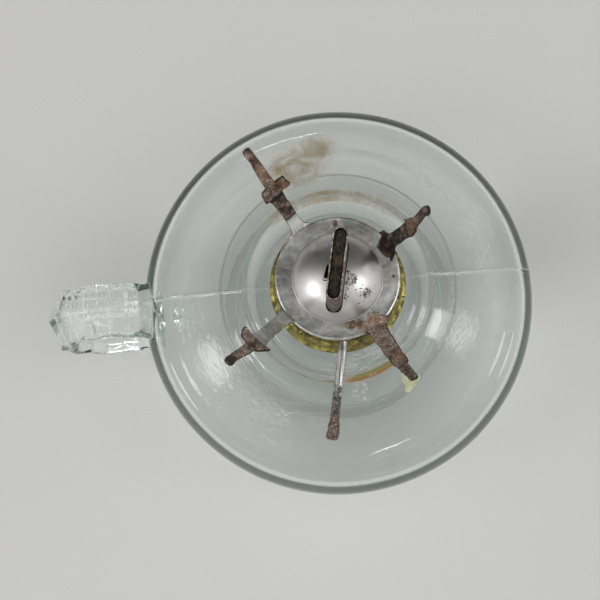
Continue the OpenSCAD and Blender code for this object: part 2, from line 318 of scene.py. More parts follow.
class Finish:
    """A node material, or the world: makes nodes, and links or sets the values that they are given."""

    def __init__(self, name, shelf="materials", place="Object"):
        self.shelf = shelf
        self.owner = getattr(bpy.data, shelf).new(name)
        self.owner.use_nodes = True
        self.tree = self.owner.node_tree
        self.tree.nodes.clear()
        self.place = self.node("ShaderNodeTexCoord").outputs[place]

    def node(self, kind, inputs=None, **settings):
        """A new node of this kind. inputs goes by the sockets' names or numbers."""
        n = self.tree.nodes.new(kind)
        for key, value in settings.items():
            setattr(n, key, value)
        for key, value in (inputs or {}).items():
            self.fill(n.inputs[key], value)
        return n

    def fill(self, socket, value):
        """Links the value to the socket if it is a node's output, and otherwise sets it."""
        value = value.socket if isinstance(value, Shade) else value
        if isinstance(value, bpy.types.NodeSocket):
            self.tree.links.new(value, socket)
        else:
            socket.default_value = value

    def shade(self, kind, output, inputs=None, **settings):
        """The named output of a new node."""
        return Shade(self, self.node(kind, inputs, **settings).outputs[output])

    def math(self, how, a, b):
        """The value that a sum of this kind gives."""
        return self.shade("ShaderNodeMath", 0, {0: a, 1: b}, operation=how)

    def vector(self, how, a, b=(0, 0, 0)):
        """The place or direction that a sum of two of them gives."""
        return self.node("ShaderNodeVectorMath", {0: a, 1: b}, operation=how).outputs["Vector"]

    def measure(self, how, a, b=(0, 0, 0)):
        """The value that a sum of two places or directions gives."""
        return self.shade("ShaderNodeVectorMath", "Value", {0: a, 1: b}, operation=how)

    def stored(self, name):
        """The value that the piece stores at each point under that name."""
        return self.shade("ShaderNodeAttribute", "Fac", attribute_name=name)

    def ray(self, name):
        """What the light path says about the ray under that name."""
        return self.shade("ShaderNodeLightPath", name)

    def noise(self, place, scale, detail, rough, warp=0.0):
        """Cloudy noise over any place, from 0 to 1."""
        return self.shade("ShaderNodeTexNoise", "Fac", {
            "Vector": place, "Scale": scale, "Detail": detail, "Roughness": rough, "Distortion": warp})

    def speckle(self, scale, detail=4, rough=0.55, warp=0.0):
        """Cloudy noise over the object, from 0 to 1."""
        return self.noise(self.place, scale, detail, rough, warp)

    def parts(self):
        """The place's distance along X, Y and Z."""
        return [Shade(self, part) for part in self.node("ShaderNodeSeparateXYZ", {0: self.place}).outputs]

    def near(self, point, full, none):
        """1 within the first distance of a point given in millimetres, and 0 beyond the second."""
        gap = self.measure("DISTANCE", self.place, [v * MM for v in point])
        return gap.ramp(none * MM, full * MM)

    def polar(self):
        """The place's distance from the lamp's axis, and its direction from there."""
        flat = self.vector("MULTIPLY", self.place, (1, 1, 0))
        return self.measure("LENGTH", flat), self.vector("NORMALIZE", flat)

    def towards(self, angle):
        """How far the place lies from the axis in the direction of an angle in degrees, in metres."""
        a = math.radians(angle)
        return self.measure("DOT_PRODUCT", self.place, (math.cos(a), math.sin(a), 0))

    def sector(self, radius, reach, angle, spread):
        """1 on a part of a ring about the lamp's axis, in millimetres and degrees.

        It falls to 0 at the reach from the ring's radius, and round the spread from its angle.
        """
        length = self.polar()[0]
        ring = abs(length - radius * MM).ramp(reach * MM, reach * 0.3 * MM)
        low, high = (math.cos(math.radians(spread * k)) for k in (1.3, 0.7))
        return ring * (self.towards(angle) / length).ramp(low, high)

    def swirl(self, across, around, detail=4):
        """Cloudy noise drawn out round the lamp's axis, from 0 to 1."""
        length, unit = self.polar()
        rise = self.node("ShaderNodeCombineXYZ", {2: length * across}).outputs[0]
        wound = self.vector("MULTIPLY", unit, (around, around, 0))
        return self.noise(self.vector("ADD", wound, rise), 1.0, detail, 0.62)

    def mix(self, factor, a, b):
        """Colour a where the factor is 0, and b where it is 1."""
        n = self.node("ShaderNodeMix", {0: factor}, data_type="RGBA")
        for socket, colour in ((n.inputs[6], a), (n.inputs[7], b)):
            self.fill(socket, colour if isinstance(colour, bpy.types.NodeSocket) else (*colour[:3], 1))
        return n.outputs[2]

    def over(self, base, *layers):
        """The base colour with others over it in turn, each given as its factor and its colour."""
        for factor, colour in layers:
            base = self.mix(factor, base, colour)
        return base

    def bump(self, height, depth, strength=1.0, **others):
        """Directions of a surface raised by height times depth, in metres."""
        inputs = {"Height": height, "Distance": depth, "Strength": strength, **others}
        return self.node("ShaderNodeBump", inputs).outputs["Normal"]

    def surface(self, **inputs):
        """A surface with these settings, whose names have spaces for underscores."""
        named = {k.replace("_", " "): v for k, v in inputs.items()}
        return self.node("ShaderNodeBsdfPrincipled", named).outputs[0]

    def clear(self, colour):
        """A surface that lets rays straight through, dimmed to this colour."""
        return self.node("ShaderNodeBsdfTransparent", {"Color": (*colour, 1)}).outputs[0]

    def blend(self, factor, a, b):
        """Surface a where the factor is 0, and b where it is 1."""
        return self.node("ShaderNodeMixShader", {0: factor, 1: a, 2: b}).outputs[0]

    def output(self, surface, **others):
        """The material or world, finished with this surface."""
        kind = "World" if self.shelf == "worlds" else "Material"
        self.node("ShaderNodeOutput" + kind, {"Surface": surface, **others})
        return self.owner

    def paint(self, **inputs):
        """The material, finished with one surface of these settings."""
        return self.output(self.surface(**inputs))


# A ray passes straight on through the glass once it has turned, or glanced off, more often than this
DEEP_TURNS = 6.5
DEEP_GLANCES = 2.5


def handle_frost(f):
    """1 on the handle's ridge and on the edges between its facets, which are worn dull."""
    x, y, z = f.parts()
    angle = f.math("ARCTAN2", z - LOOP_C[1] * MM, x - LOOP_C[0] * MM) % (2 * math.pi)
    station = (angle - math.radians(FACET_FIRST)) / math.radians(FACET_TURN)
    edge = station.math("PINGPONG", 0.5).ramp(0.085, 0.02)
    ridge = abs(y).ramp(0.75 * MM, 0.15 * MM)
    worn = f.speckle(700, 7, 0.75).ramp(0.4, 0.58)
    return (edge | ridge) * worn * x.ramp(-49 * MM, -51.5 * MM)


def clear_glass(f, colours):
    """Clear glass with dried oil inside and powder, gilt, scuffs and dull edges outside. Where the
    lamps reflect, the scuffs are painted white as streaky reflections, and a highlight line is painted
    above the gilt.

    Shadow rays pass through it, and so do rays that it has thrown back many times, dimmed.
    """
    outside = f.stored("outside")
    cloud = f.speckle(150, 7, 0.68, 0.7).ramp(0.36, 0.66)
    rings = f.swirl(1100, 5)
    amber = f.near((-9, 33, 36), 4, 11) | f.near((-3, 38, 34), 2, 8) | f.sector(24.2, 1.7, 92, 40)
    amber = amber * cloud.between(0.45, 1.0) * (1.0 - outside)
    gold = f.sector(23.2, 1.35, -71, 19) * rings.ramp(0.3, 0.44) * outside
    # Scuffs over the outside, and streaky reflections painted as white scuffs in three sectors where the
    # lamps reflect
    worn = (f.sector(36, 9, 217, 36) | f.sector(37, 6, 30, 24) | f.sector(33, 8, -16, 20)
            | outside.between(0.0, 0.02))
    scuffs_and_painted_streaks = worn * f.swirl(2300, 15, 3).ramp(0.52, 0.66) * f.speckle(120, 5).ramp(0.42, 0.6)
    powder = f.near((4.4, -26, 44), 1.5, 4) * f.speckle(700, 6, 0.75).ramp(0.5, 0.6)
    lime = f.sector(20, 6, -62, 34) * rings.ramp(0.45, 0.62)
    # The thin sector just above the gilt band is a painted highlight line
    white = (lime | scuffs_and_painted_streaks * 1.1 | f.sector(22.35, 0.4, -74, 15) * 1.4 | powder) * 0.5 * outside
    faint = f.speckle(38, 5, 0.6, 0.8).ramp(0.56, 0.76) * cloud.between(0.0, 0.16)
    right, left = (abs(f.towards(a + 90)).ramp(0.34 * MM, 0.1 * MM) * f.towards(a).ramp(16 * MM, 20 * MM)
                   for a in SEAMS)
    seam = (right | left) * outside * f.speckle(260, 5).ramp(0.4, 0.6).between(0.35, 0.9)
    outwards = f.polar()[0].ramp(22.6 * MM, 24.0 * MM) + f.swirl(1300, 9) - 0.5
    gilt = f.mix(outwards.ramp(0.4, 0.62), (0.3, 0.27, 0.075), (0.4, 0.18, 0.03))
    tint = f.over((0.992, 0.996, 0.993), (amber | faint, colours.oil), (white | seam, (0.86, 0.83, 0.76)),
                  (gold, gilt))
    film_and_painted_light = amber * 0.8 | white | gold * 0.95 | seam * 0.6 | handle_frost(f) * 0.75
    haze = f.speckle(60, 6, 0.7).ramp(0.5, 0.85).between(0.0, 0.04)
    height = f.speckle(90, 2) + film_and_painted_light * f.speckle(1300, 5) + worn * f.swirl(900, 13, 3) * 2.5
    glass = f.surface(Base_Color=tint, Transmission_Weight=film_and_painted_light.between(1.0, 0.3), IOR=1.5,
                      Roughness=haze | film_and_painted_light * 0.55, Normal=f.bump(height, 0.00012, 0.35))
    shaded = f.blend(f.ray("Is Shadow Ray"), glass, f.clear((0.925, 0.932, 0.927)))
    deep = f.ray("Ray Depth").above(DEEP_TURNS) | f.ray("Glossy Depth").above(DEEP_GLANCES)
    green = f.node("ShaderNodeVolumeAbsorption", {"Color": (*colours.glass_tint, 1), "Density": 13.0})
    return f.output(f.blend(deep, shaded, f.clear((0.5, 0.54, 0.52))), Volume=green.outputs[0])


def aged_brass(f, colours):
    """Old brass: yellow where it is rubbed, brown, green and black where it is not."""
    stain = f.speckle(230, 8, 0.7, 0.5).ramp(0.4, 0.6)
    green = f.speckle(340, 6, 0.66, 0.3).ramp(0.52, 0.64)
    base = f.over(colours.brass, (stain, (0.16, 0.12, 0.035)), (green * 0.75, (0.12, 0.15, 0.045)),
                  (f.speckle(900, 8, 0.75).ramp(0.54, 0.6), (0.025, 0.025, 0.012)))
    return f.paint(Base_Color=base, Metallic=stain.between(0.95, 0.45),
                   Roughness=stain.between(0.3, 0.62) | green.between(0.3, 0.7),
                   Normal=f.bump(f.speckle(900, 6, 0.7), 0.0001, 0.7))


def rusty_tinplate(f, colours):
    """Tinned sheet under rust, with painted glints. The piece stores where it is rusty, pale and orange,
    where a highlight is painted (bright), and where it is dark: painted shadow and shade, and the rust's
    dark front.
    """
    fine = f.speckle(2300, 5, 0.65)
    lift = f.speckle(520, 7, 0.66, 0.5) - 0.5
    edge = (f.stored("rust") + lift * 0.9).ramp(0.4, 0.58)
    tone = f.stored("tone") + lift * 2.7
    warm = f.stored("warm") * f.speckle(800, 6, 0.66).ramp(0.32, 0.6)
    cracks = abs(f.speckle(620, 7, 0.72, 0.6) - 0.52).ramp(0.024, 0.006)
    # Pale specks on the pale rust are painted glints, and are kept smoother
    painted_rust_glints = f.speckle(1700, 4, 0.7).ramp(0.56, 0.63) * tone.ramp(0.3, 1.0)
    # Its last layer paints shadow and shade near black where the piece stores dark, along with the rust's
    # dark front
    brown = f.over(colours.rust_dark, (tone.ramp(0.0, 1.05), colours.rust_light), (warm, colours.rust_warm),
                   (cracks * 0.75, (0.03, 0.018, 0.013)),
                   (fine.ramp(0.58, 0.68) * 0.5, (0.035, 0.022, 0.016)),
                   (painted_rust_glints, (0.86, 0.8, 0.75)), (f.stored("dark"), (0.012, 0.009, 0.008)))
    dull = f.speckle(260, 7, 0.7).ramp(0.4, 0.7)
    # Its last layer paints a highlight white where the piece stores bright, where the metal is also taken
    # off
    tin = f.over(colours.tin, (dull * 0.75, (0.4, 0.39, 0.36)),
                 (f.speckle(130, 6, 0.62).ramp(0.46, 0.66) * 0.8, (0.4, 0.4, 0.31)),
                 (f.speckle(95, 7, 0.7, 0.4).ramp(0.52, 0.66) * 0.7, (0.86, 0.86, 0.83)),
                 (f.speckle(1600, 5, 0.7).ramp(0.66, 0.72), (0.12, 0.11, 0.09)),
                 (f.speckle(75).ramp(0.5, 0.62) * 0.7, (0.3, 0.29, 0.3)),
                 (f.stored("bright"), (0.96, 0.96, 0.94)))
    pits = edge * f.speckle(1300, 7, 0.78) + fine * 0.06
    dents = f.bump(f.speckle(130, 3, 0.4), 0.0015, 0.8)
    return f.paint(Base_Color=f.mix(edge, tin, brown),
                   Metallic=edge.between(0.94, 0.03) * f.stored("bright").between(1.0, 0.08),
                   Roughness=dull.between(0.24, 0.42) | edge * painted_rust_glints.between(0.86, 0.4),
                   Normal=f.bump(pits, 0.0006, Normal=dents))


def rusty_steel(f, _colours):
    """Bright drawn wire with lengthwise streaks, speckled and then rust brown where it is rusty, with
    painted glints on the black.
    """
    rust = f.stored("rust")
    lift = f.speckle(1100, 8, 0.78) - 0.5
    black = (rust + lift * 2.2).ramp(0.38, 0.56)
    crust = (rust + lift * 0.7).ramp(0.72, 0.88)
    flakes = f.speckle(1500, 7, 0.74, 0.5).ramp(0.38, 0.66)
    lay = f.node("ShaderNodeMapping", {"Vector": f.place, "Rotation": (0, 0, -BURNER_TURN),
                                       "Scale": (2600, 40, 2600)}).outputs[0]
    streak = f.noise(lay, 1.0, 3.0, 0.5)
    wire = f.mix(streak.ramp(0.35, 0.65), (0.3, 0.29, 0.28), (0.78, 0.77, 0.75))
    dark = f.mix(flakes, (0.035, 0.032, 0.03), (0.24, 0.22, 0.2))
    brown = f.mix(flakes, (0.07, 0.042, 0.03), (0.3, 0.21, 0.17))
    # Pale specks on the black are painted glints
    painted_wire_glints = f.speckle(2000, 4, 0.7).ramp(0.56, 0.64) * black * 0.8
    base = f.over(wire, (black, dark), (crust, brown), (painted_wire_glints, (0.8, 0.76, 0.72)))
    height = black * f.speckle(1500, 7, 0.78) + streak * 0.08
    return f.paint(Base_Color=base, Metallic=black.between(1.0, 0.25), Roughness=black.between(0.22, 0.72),
                   Normal=f.bump(height, 0.0003, 0.9))


def burnt_tube(f, _colours):
    """Tube sheet browned by heat, with soot runs, a rubbed rim, and painted shade where it enters the dome.
    """
    cloud = f.speckle(330, 7, 0.7, 0.5).ramp(0.36, 0.66)
    runs = f.speckle(1000, 7, 0.75).ramp(0.48, 0.68)
    worn = f.stored("worn") * f.speckle(800, 7, 0.75).ramp(0.45, 0.6)
    # Painted shade, near black, round the tube where it goes into the dome's slot
    root = f.near((0, 0, DOME_MIDDLE), DOME_SPHERE + 0.1, DOME_SPHERE + 0.5)
    base = f.over((0.2, 0.155, 0.125), (cloud, (0.11, 0.07, 0.048)), (runs * 0.8, (0.05, 0.035, 0.025)),
                  (worn, (0.66, 0.62, 0.54)), (root, (0.02, 0.015, 0.012)))
    return f.paint(Base_Color=base, Metallic=cloud.between(0.85, 0.5), Roughness=cloud.between(0.34, 0.6),
                   Normal=f.bump(f.speckle(1500, 6), 0.00006, 0.7))


def worn_nickel(f, colours):
    """Worn plate on the dome and vent: bright, with fine soot beside the tube and scratches."""
    right = f.near((6.9, -4.6, 62.9), 0.6, 3.6)
    dirt = (f.near((3.4, -1.5, 64.6), 0.8, 4.2) | right) * f.speckle(1500, 8, 0.8, 0.8)
    spots = f.speckle(1500, 6, 0.75).ramp(0.64, 0.7)
    waves = f.shade("ShaderNodeTexWave", "Fac", {"Vector": f.place, "Scale": 260.0, "Distortion": 26.0,
                                                 "Detail": 4.0, "Detail Scale": 3.0})
    marks = dirt.ramp(0.44, 0.56) | spots * 0.5 | waves.ramp(0.94, 0.99) * right * 0.9
    cloud = f.speckle(170, 7, 0.68, 0.5).ramp(0.42, 0.78)
    base = f.over(colours.nickel, (cloud, (0.47, 0.465, 0.43)), (marks, (0.05, 0.042, 0.032)))
    return f.paint(Base_Color=base, Metallic=marks.between(1.0, 0.15),
                   Roughness=cloud.between(0.31, 0.38) + marks * 0.4,
                   Normal=f.bump(f.speckle(1500, 5), 0.00002, 0.5))


def cotton_wick(f, colours):
    """Woven cotton, oil brown lower down and charred where the stored char is high."""
    char = (f.stored("char") + (f.speckle(900, 5) - 0.5) * 0.5).ramp(0.35, 0.7)
    fibre = f.speckle(2400, 5, 0.7)
    cotton = f.mix(fibre, (0.34, 0.26, 0.16), colours.cotton)
    soot = f.over((0.014, 0.012, 0.01), (f.speckle(1500, 7, 0.75).ramp(0.42, 0.7), (0.1, 0.08, 0.055)),
                  (f.speckle(210, 8, 0.72).ramp(0.48, 0.6) * 0.9, (0.12, 0.088, 0.045)))
    return f.paint(Base_Color=f.mix(char, cotton, soot), Roughness=0.95,
                   Normal=f.bump(fibre + f.speckle(1100, 6, 0.75), 0.0003, 0.9))


def lamp_plaster(f, _colours):
    """Set plaster, off white with oil stains."""
    base = f.mix(f.speckle(300, 5).ramp(0.45, 0.7), (0.72, 0.69, 0.6), (0.42, 0.36, 0.25))
    return f.paint(Base_Color=base, Roughness=0.9, Normal=f.bump(f.speckle(1400, 6), 0.0001, 0.7))


def burnt_crust(f, _colours):
    """Dry flakes of soot and rust."""
    base = f.mix(f.speckle(1900, 5, 0.7).ramp(0.4, 0.65), (0.016, 0.013, 0.011), (0.075, 0.055, 0.038))
    return f.paint(Base_Color=base, Roughness=0.95, Normal=f.bump(f.speckle(3000, 5), 0.0001, 0.8))


def verdigris(f, _colours):
    """Pale green crust of old brass salts, greener in the hollows."""
    base = f.over((0.5, 0.53, 0.31), (f.speckle(700, 7, 0.7).ramp(0.36, 0.66), (0.74, 0.76, 0.55)),
                  (f.speckle(300).ramp(0.5, 0.7) * 0.5, (0.4, 0.36, 0.17)))
    return f.paint(Base_Color=base, Roughness=0.85, Normal=f.bump(f.speckle(1800, 7, 0.75), 0.0002, 0.9))


FINISHES = (clear_glass, aged_brass, rusty_tinplate, rusty_steel, burnt_tube, worn_nickel, cotton_wick,
            lamp_plaster, burnt_crust, verdigris)
made_finishes = {}


def finish(name):
    """The named finish. All of them are made the first time."""
    if not made_finishes:
        for make in FINISHES:
            material = make(Finish(make.__name__), bpy.context.scene.lamp_colours)
            made_finishes[make.__name__] = material
    return made_finishes[name]


# ---------------------------------------------------------------- settings


class LampSizes(bpy.types.PropertyGroup):
    """Fine sizes of the pieces that the frame does not set."""

    glass_wave: FloatProperty(name="Glass waviness", description="Height of the waves of the pressed glass",
                              default=0.06 * MM, unit="LENGTH")
    seam_height: FloatProperty(name="Mould seam", description="Height of the mould seam on the glass",
                               default=0.2 * MM, unit="LENGTH")
    thread_pitch: FloatProperty(name="Thread pitch", description="Pitch of the collar's rolled thread",
                                default=1.6 * MM, unit="LENGTH")
    rust_height: FloatProperty(name="Rust height", description="How far the rust stands up on the prongs",
                               default=0.24 * MM, unit="LENGTH")
    crumbs: IntProperty(name="Crumbs", description="Flakes of soot on the dome beside the wick tube",
                        default=70, min=0, max=300)


class LampColours(bpy.types.PropertyGroup):
    """Colours of the finishes."""

    glass_tint: FloatVectorProperty(name="Glass", description="What thick glass lets through",
                                    subtype="COLOR", default=(0.7, 0.86, 0.8))
    brass: FloatVectorProperty(name="Brass", description="Rubbed brass of the collar",
                               subtype="COLOR", default=(0.46, 0.41, 0.12))
    tin: FloatVectorProperty(name="Tinplate", description="Bright tinned sheet of the gallery",
                             subtype="COLOR", default=(0.68, 0.68, 0.65))
    nickel: FloatVectorProperty(name="Nickel", description="Polished plate of the dome",
                                subtype="COLOR", default=(0.58, 0.57, 0.55))
    rust_dark: FloatVectorProperty(name="Dark rust", description="Rust in the hollows",
                                   subtype="COLOR", default=(0.042, 0.025, 0.017))
    rust_light: FloatVectorProperty(name="Light rust", description="Rust on the high flakes",
                                    subtype="COLOR", default=(0.52, 0.39, 0.31))
    rust_warm: FloatVectorProperty(name="Orange rust", description="Rust where it is freshest",
                                   subtype="COLOR", default=(0.36, 0.17, 0.06))
    oil: FloatVectorProperty(name="Oil stain", description="Dried lamp oil on the glass",
                             subtype="COLOR", default=(0.38, 0.24, 0.09))
    cotton: FloatVectorProperty(name="Cotton", description="Clean part of the wick",
                                subtype="COLOR", default=(0.62, 0.52, 0.36))


class StageSettings(bpy.types.PropertyGroup):
    """Camera, lamps and floor."""

    focal: FloatProperty(name="Focal length", description="Focal length on a 36 mm sensor, in millimetres",
                         default=125.5)
    floor: FloatVectorProperty(name="Floor", description="Colour of the floor", subtype="COLOR",
                               default=(0.8, 0.795, 0.785))
    backdrop: FloatVectorProperty(name="Backdrop", description="Colour behind the floor's edge",
                                  subtype="COLOR", default=(0.6, 0.6, 0.59))
    lamp_power: FloatProperty(name="Lamp power", description="Power that the lamps share", default=1.1,
                              unit="POWER")
    sky: FloatProperty(name="Sky", description="Strength of the light from all round", default=1.2)


# ---------------------------------------------------------------- glass

# Outline of the font in millimetres: (radius, height)
FOOT_R = 32
RECESS = 2
WAIST = (31.2, 4.2)
BELLY = (50, 26)
SHOULDER = (44.5, 35.2)
STEP_R = 29.5
NECK_RING_R = 23.8
NECK_R = 14.6
NECK_IN_R = 12.3
NECK_TOP = 51.8
WALL = 4.2
FLOOR_Z = 6.6


def font_outside():
    """Outside of the glass from just off the axis under the foot to the neck's rim."""
    return np.concatenate([
        line((0.4, RECESS + 0.6), (FOOT_R - 6.2, RECESS), 10),
        arc((FOOT_R - 4.2, 0.8), 0.8, 180, 270, 6),
        line((FOOT_R - 4, 0), (FOOT_R - 1, 0), 4),
        arc((FOOT_R - 1, 1), 1, 270, 360, 8),
        cubic((FOOT_R, 1.2), (FOOT_R, 2.8), (WAIST[0] - 0.4, 3.4), WAIST, 8),
        cubic(WAIST, (41, 4.6), (BELLY[0], 13), BELLY, 44),
        cubic(BELLY, (BELLY[0], 30.2), (SHOULDER[0] + 3.2, SHOULDER[1] - 2.16), SHOULDER, 26),
        cubic(SHOULDER, (SHOULDER[0] - 4, SHOULDER[1] + 2.7), (STEP_R + 5.5, 41), (STEP_R + 0.5, 42.6), 34),
        cubic((STEP_R + 0.5, 42.6), (STEP_R + 0.05, 42.65), (STEP_R + 0.05, 43.55),
              (STEP_R - 0.6, 43.6), 10),
        cubic((STEP_R - 0.6, 43.6), (STEP_R - 2, 44.2), (NECK_RING_R + 1.6, 45),
              (NECK_RING_R + 0.3, 45.6), 12),
        cubic((NECK_RING_R + 0.3, 45.6), (NECK_RING_R, 45.8), (NECK_RING_R, 46.2), (NECK_RING_R, 46.8), 6),
        arc((NECK_RING_R - 1, 46.9), 1, 0, 110, 10),
        cubic((NECK_RING_R - 1.5, 47.8), (19, 46.7), (NECK_R + 0.6, 46.6), (NECK_R, 49.8), 22),
        line((NECK_R, 49.8), (NECK_R, NECK_TOP - 0.3), 4),
        arc((NECK_R - 0.3, NECK_TOP - 0.3), 0.3, 0, 90, 4),
    ])


def font_inside():
    """Inside of the glass from the neck's rim to just off the axis on the floor."""
    sx, sz = SHOULDER
    inner = BELLY[0] - WALL
    return np.concatenate([
        arc((NECK_IN_R + 0.3, NECK_TOP - 0.3), 0.3, 90, 180, 4),
        line((NECK_IN_R, NECK_TOP - 0.6), (NECK_IN_R, 44.8), 8),
        cubic((NECK_IN_R, 44.8), (NECK_IN_R + 0.6, 42), (NECK_IN_R + 4, 42.6), (22, 41.4), 16),
        cubic((22, 41.4), (31, 38.8), (sx - 8, sz - 2), (sx - 4, sz - 5), 26),
        cubic((sx - 4, sz - 5), (sx - 1.6, sz - 7), (inner, BELLY[1] + 3), (inner, BELLY[1] - 1), 16),
        cubic((inner, BELLY[1] - 1), (inner, 15), (38, FLOOR_Z + 1.4), (28, FLOOR_Z + 0.4), 30),
        line((28, FLOOR_Z + 0.4), (0.4, FLOOR_Z), 14),
    ])


# The mould's seams: directions in degrees, and in millimetres the half width, the places beside
# the seam where columns of points stand, and the radius at which those places are measured
SEAMS = (4.6, 177.4)
SEAM_W = 0.33
SEAM_COLUMNS = np.array([-1.4, -0.9, -0.55, -0.3, -0.1, 0.1, 0.3, 0.55, 0.9, 1.4])
SEAM_R = 48


def font_surface():
    """The glass shell: its outline turned about the axis, with waves and the mould's two seams.

    The radius of a point is the outline's, less a tenth of a millimetre, plus low noise, plus on
    the outside a ridge that falls off as a bell curve with the distance from each seam's upright
    plane. It stays within the belly's radius.
    """
    sizes = bpy.context.scene.lamp_sizes
    beside = [(SEAM_COLUMNS / SEAM_R + math.radians(a)) % (2 * math.pi) for a in SEAMS]
    angles = np.unique(np.concatenate([full_turn(176), *beside]))
    outside, inside = font_outside(), font_inside()
    grid = spun(np.concatenate([outside, inside]) * MM, angles)
    radius = from_axis(grid)
    height = grid[..., 2]
    outer = (np.arange(len(grid)) < len(outside))[:, None]
    fade = held((radius - 15.5 * MM) / (6 * MM)) * held((height - 4.5 * MM) / (4 * MM))
    ridge = 0
    for a in np.radians(SEAMS):
        across = grid[..., 1] * math.cos(a) - grid[..., 0] * math.sin(a)
        ahead = grid[..., 0] * math.cos(a) + grid[..., 1] * math.sin(a) > 0
        ridge = ridge + sizes.seam_height * bell(across / (SEAM_W * MM)) * ahead
    ridge = ridge * outer * fade
    wave = noise(grid, 15 * MM, 3) * np.where(outer, 0.8, 1.7) * sizes.glass_wave * np.clip(fade, 0.15, 1)
    reach = np.minimum(radius + ridge * 0.8 + wave - 0.1 * MM * fade, BELLY[0] * MM)
    grid[..., :2] *= (reach / radius)[..., None]
    grid[..., 2] += np.where(height > BELLY[1] * MM, ridge * 0.7 + wave * 0.6, 0)
    return mesh_from_grid("glass_font_shell", grid)


# The limb of the handle, in millimetres and degrees: its ellipse's middle and radii in the XZ plane,
# its section's width and thickness, where its facets begin, the turn and number of them, how far
# every other edge is drawn in, the edges' bevel and the widening at the roots
LOOP_C = (-58, 21)
LOOP_R = (13.9, 13.6)
LIMB = (14.6, 8)
FACET_FIRST = 37.4
FACET_TURN = 17.9
FACET_N = 17
FACET_DIP = 0.55
FACET_BEVEL = 0.26
ROOT_FLARE = 0.4
LIMB_SIDE = np.array([(0, 1), (1, 0.22), (1, -0.3), (0.62, -0.86), (0, -0.96)])


def limb_surface():
    """The handle's limb: its section set round the loop's ellipse at each facet edge.

    A section is the half outline LIMB_SIDE and its mirror, scaled by half the limb's width and
    thickness, with every other section narrower, so that the limb is cut in flat facets.
    """
    half = np.concatenate([LIMB_SIDE, LIMB_SIDE[-2:0:-1] * (-1, 1)])
    station = np.arange(FACET_N + 1)
    a = np.radians(FACET_FIRST + station * FACET_TURN)
    out = np.stack([np.cos(a), np.sin(a)], -1)
    middle = np.array(LOOP_C) + out * np.array(LOOP_R)
    width = LIMB[0] / 2 - (station % 2) * FACET_DIP + np.isin(station, (0, FACET_N)) * ROOT_FLARE
    across = width[:, None] * half[:, 0]
    off = LIMB[1] / 2 * half[:, 1]
    x = middle[:, 0, None] + out[:, 0, None] * off
    z = middle[:, 1, None] + out[:, 1, None] * off
    limb = mesh_from_grid("limb", np.stack([x, across, z], -1) * MM)
    return settle(limb, "BEVEL", width=FACET_BEVEL * MM, segments=2, limit_method="ANGLE",
                  angle_limit=math.radians(9))


GLASS_NODES = ("glass_foot", "glass_font", "glass_shoulder", "glass_neck", "glass_handle")


class LAMP_OT_glass(bpy.types.Operator):
    """Makes the glass font and its finger handle as one piece of glass"""

    bl_idname = "lamp.glass"
    bl_label = "Glass"

    def execute(self, context):
        inside = np.concatenate([[(0.3, NECK_TOP + 1)], font_inside() - (0.22, 0)])
        cavity = mesh_from_grid("cavity", spun(inside * MM, full_turn(96)))
        glass = cut(font_surface(), cut(limb_surface(), cavity), "UNION")
        glass.name = "glass_font_and_handle"
        co = coordinates(glass) / MM
        radius = from_axis(co)
        out, within = (o[o[:, 1] > BELLY[1]] for o in (font_outside(), font_inside()))
        between = (np.interp(-radius, -out[:, 0], out[:, 1]) + np.interp(radius, *within.T)) / 2
        mark(glass, "outside", (co[:, 2] > between) & (co[:, 2] > BELLY[1]) | (radius > BELLY[0] - 1))
        dress(glass, finish("clear_glass"), "lamp", GLASS_NODES, 28)
        return {"FINISHED"}


# ---------------------------------------------------------------- outlines across the burner


def stadium(w, t, side_n=16):
    """Corners of a flat-sided oval in the XY plane, w long in Y and t thick in X."""
    a = np.linspace(0, math.pi, 13)
    flat = (w - t) / 2
    far = np.stack([np.cos(a) * t / 2, np.sin(a) * t / 2 + flat], -1)
    down = line(far[-1], (-t / 2, -flat), side_n)[1:]
    return np.concatenate([far, down, -far, -down])


def rounded_box(w, t, radius):
    """Corners of a box with rounded corners in the XY plane, w long in Y and t thick in X."""
    corners = [arc((sx * (t / 2 - radius), sy * (w / 2 - radius)), radius, a, a + 90, 5)
               for sx, sy, a in ((1, 1, 0), (-1, 1, 90), (-1, -1, 180), (1, -1, 270))]
    return np.concatenate([np.concatenate([c, line(c[-1], following[0], 5)[1:]])
                           for c, following in zip(corners, corners[1:] + corners[:1])])


def stacked(loops, heights):
    """Loops of the same number of corners, each set at its height: rows upwards."""
    return np.stack([np.column_stack([loop, np.full(len(loop), z)]) for loop, z in zip(loops, heights)])


def prism(name, loop, low, high):
    """A solid with this outline between two heights, in the burner's own directions."""
    return mesh_from_grid(name, turned(stacked([loop, loop], (low, high))) * MM)


# ---------------------------------------------------------------- collar and screw shell

# Collar's bore and the rows of points along it, its lower edge, skirt, the tube's lower end and the
# thread's depth, in millimetres
BORE_R = 11.11
BORE_ROWS = 64
COLLAR_LOW = 48.7
SKIRT_R = 15.7
TUBE_END = 45.6
THREAD_DEPTH = 0.3


def threaded(grid, inward, low, high):
    """Moves the points of a screw wall along their radius by a rolled thread.

    The move is the depth times half of one minus the cosine of a full turn for each pitch of
    height and each turn about the axis. It fades out within one millimetre of both ends.
    """
    pitch = bpy.context.scene.lamp_sizes.thread_pitch
    angle = np.arctan2(grid[..., 1], grid[..., 0])
    z = grid[..., 2]
    fade = held(np.minimum(z - low * MM, high * MM - z) / MM)
    move = THREAD_DEPTH * MM * fade * (1 - np.cos(2 * math.pi * z / pitch - angle)) / 2
    radius = from_axis(grid)
    grid[..., :2] *= (1 + (-move if inward else move) / radius)[..., None]
    return grid


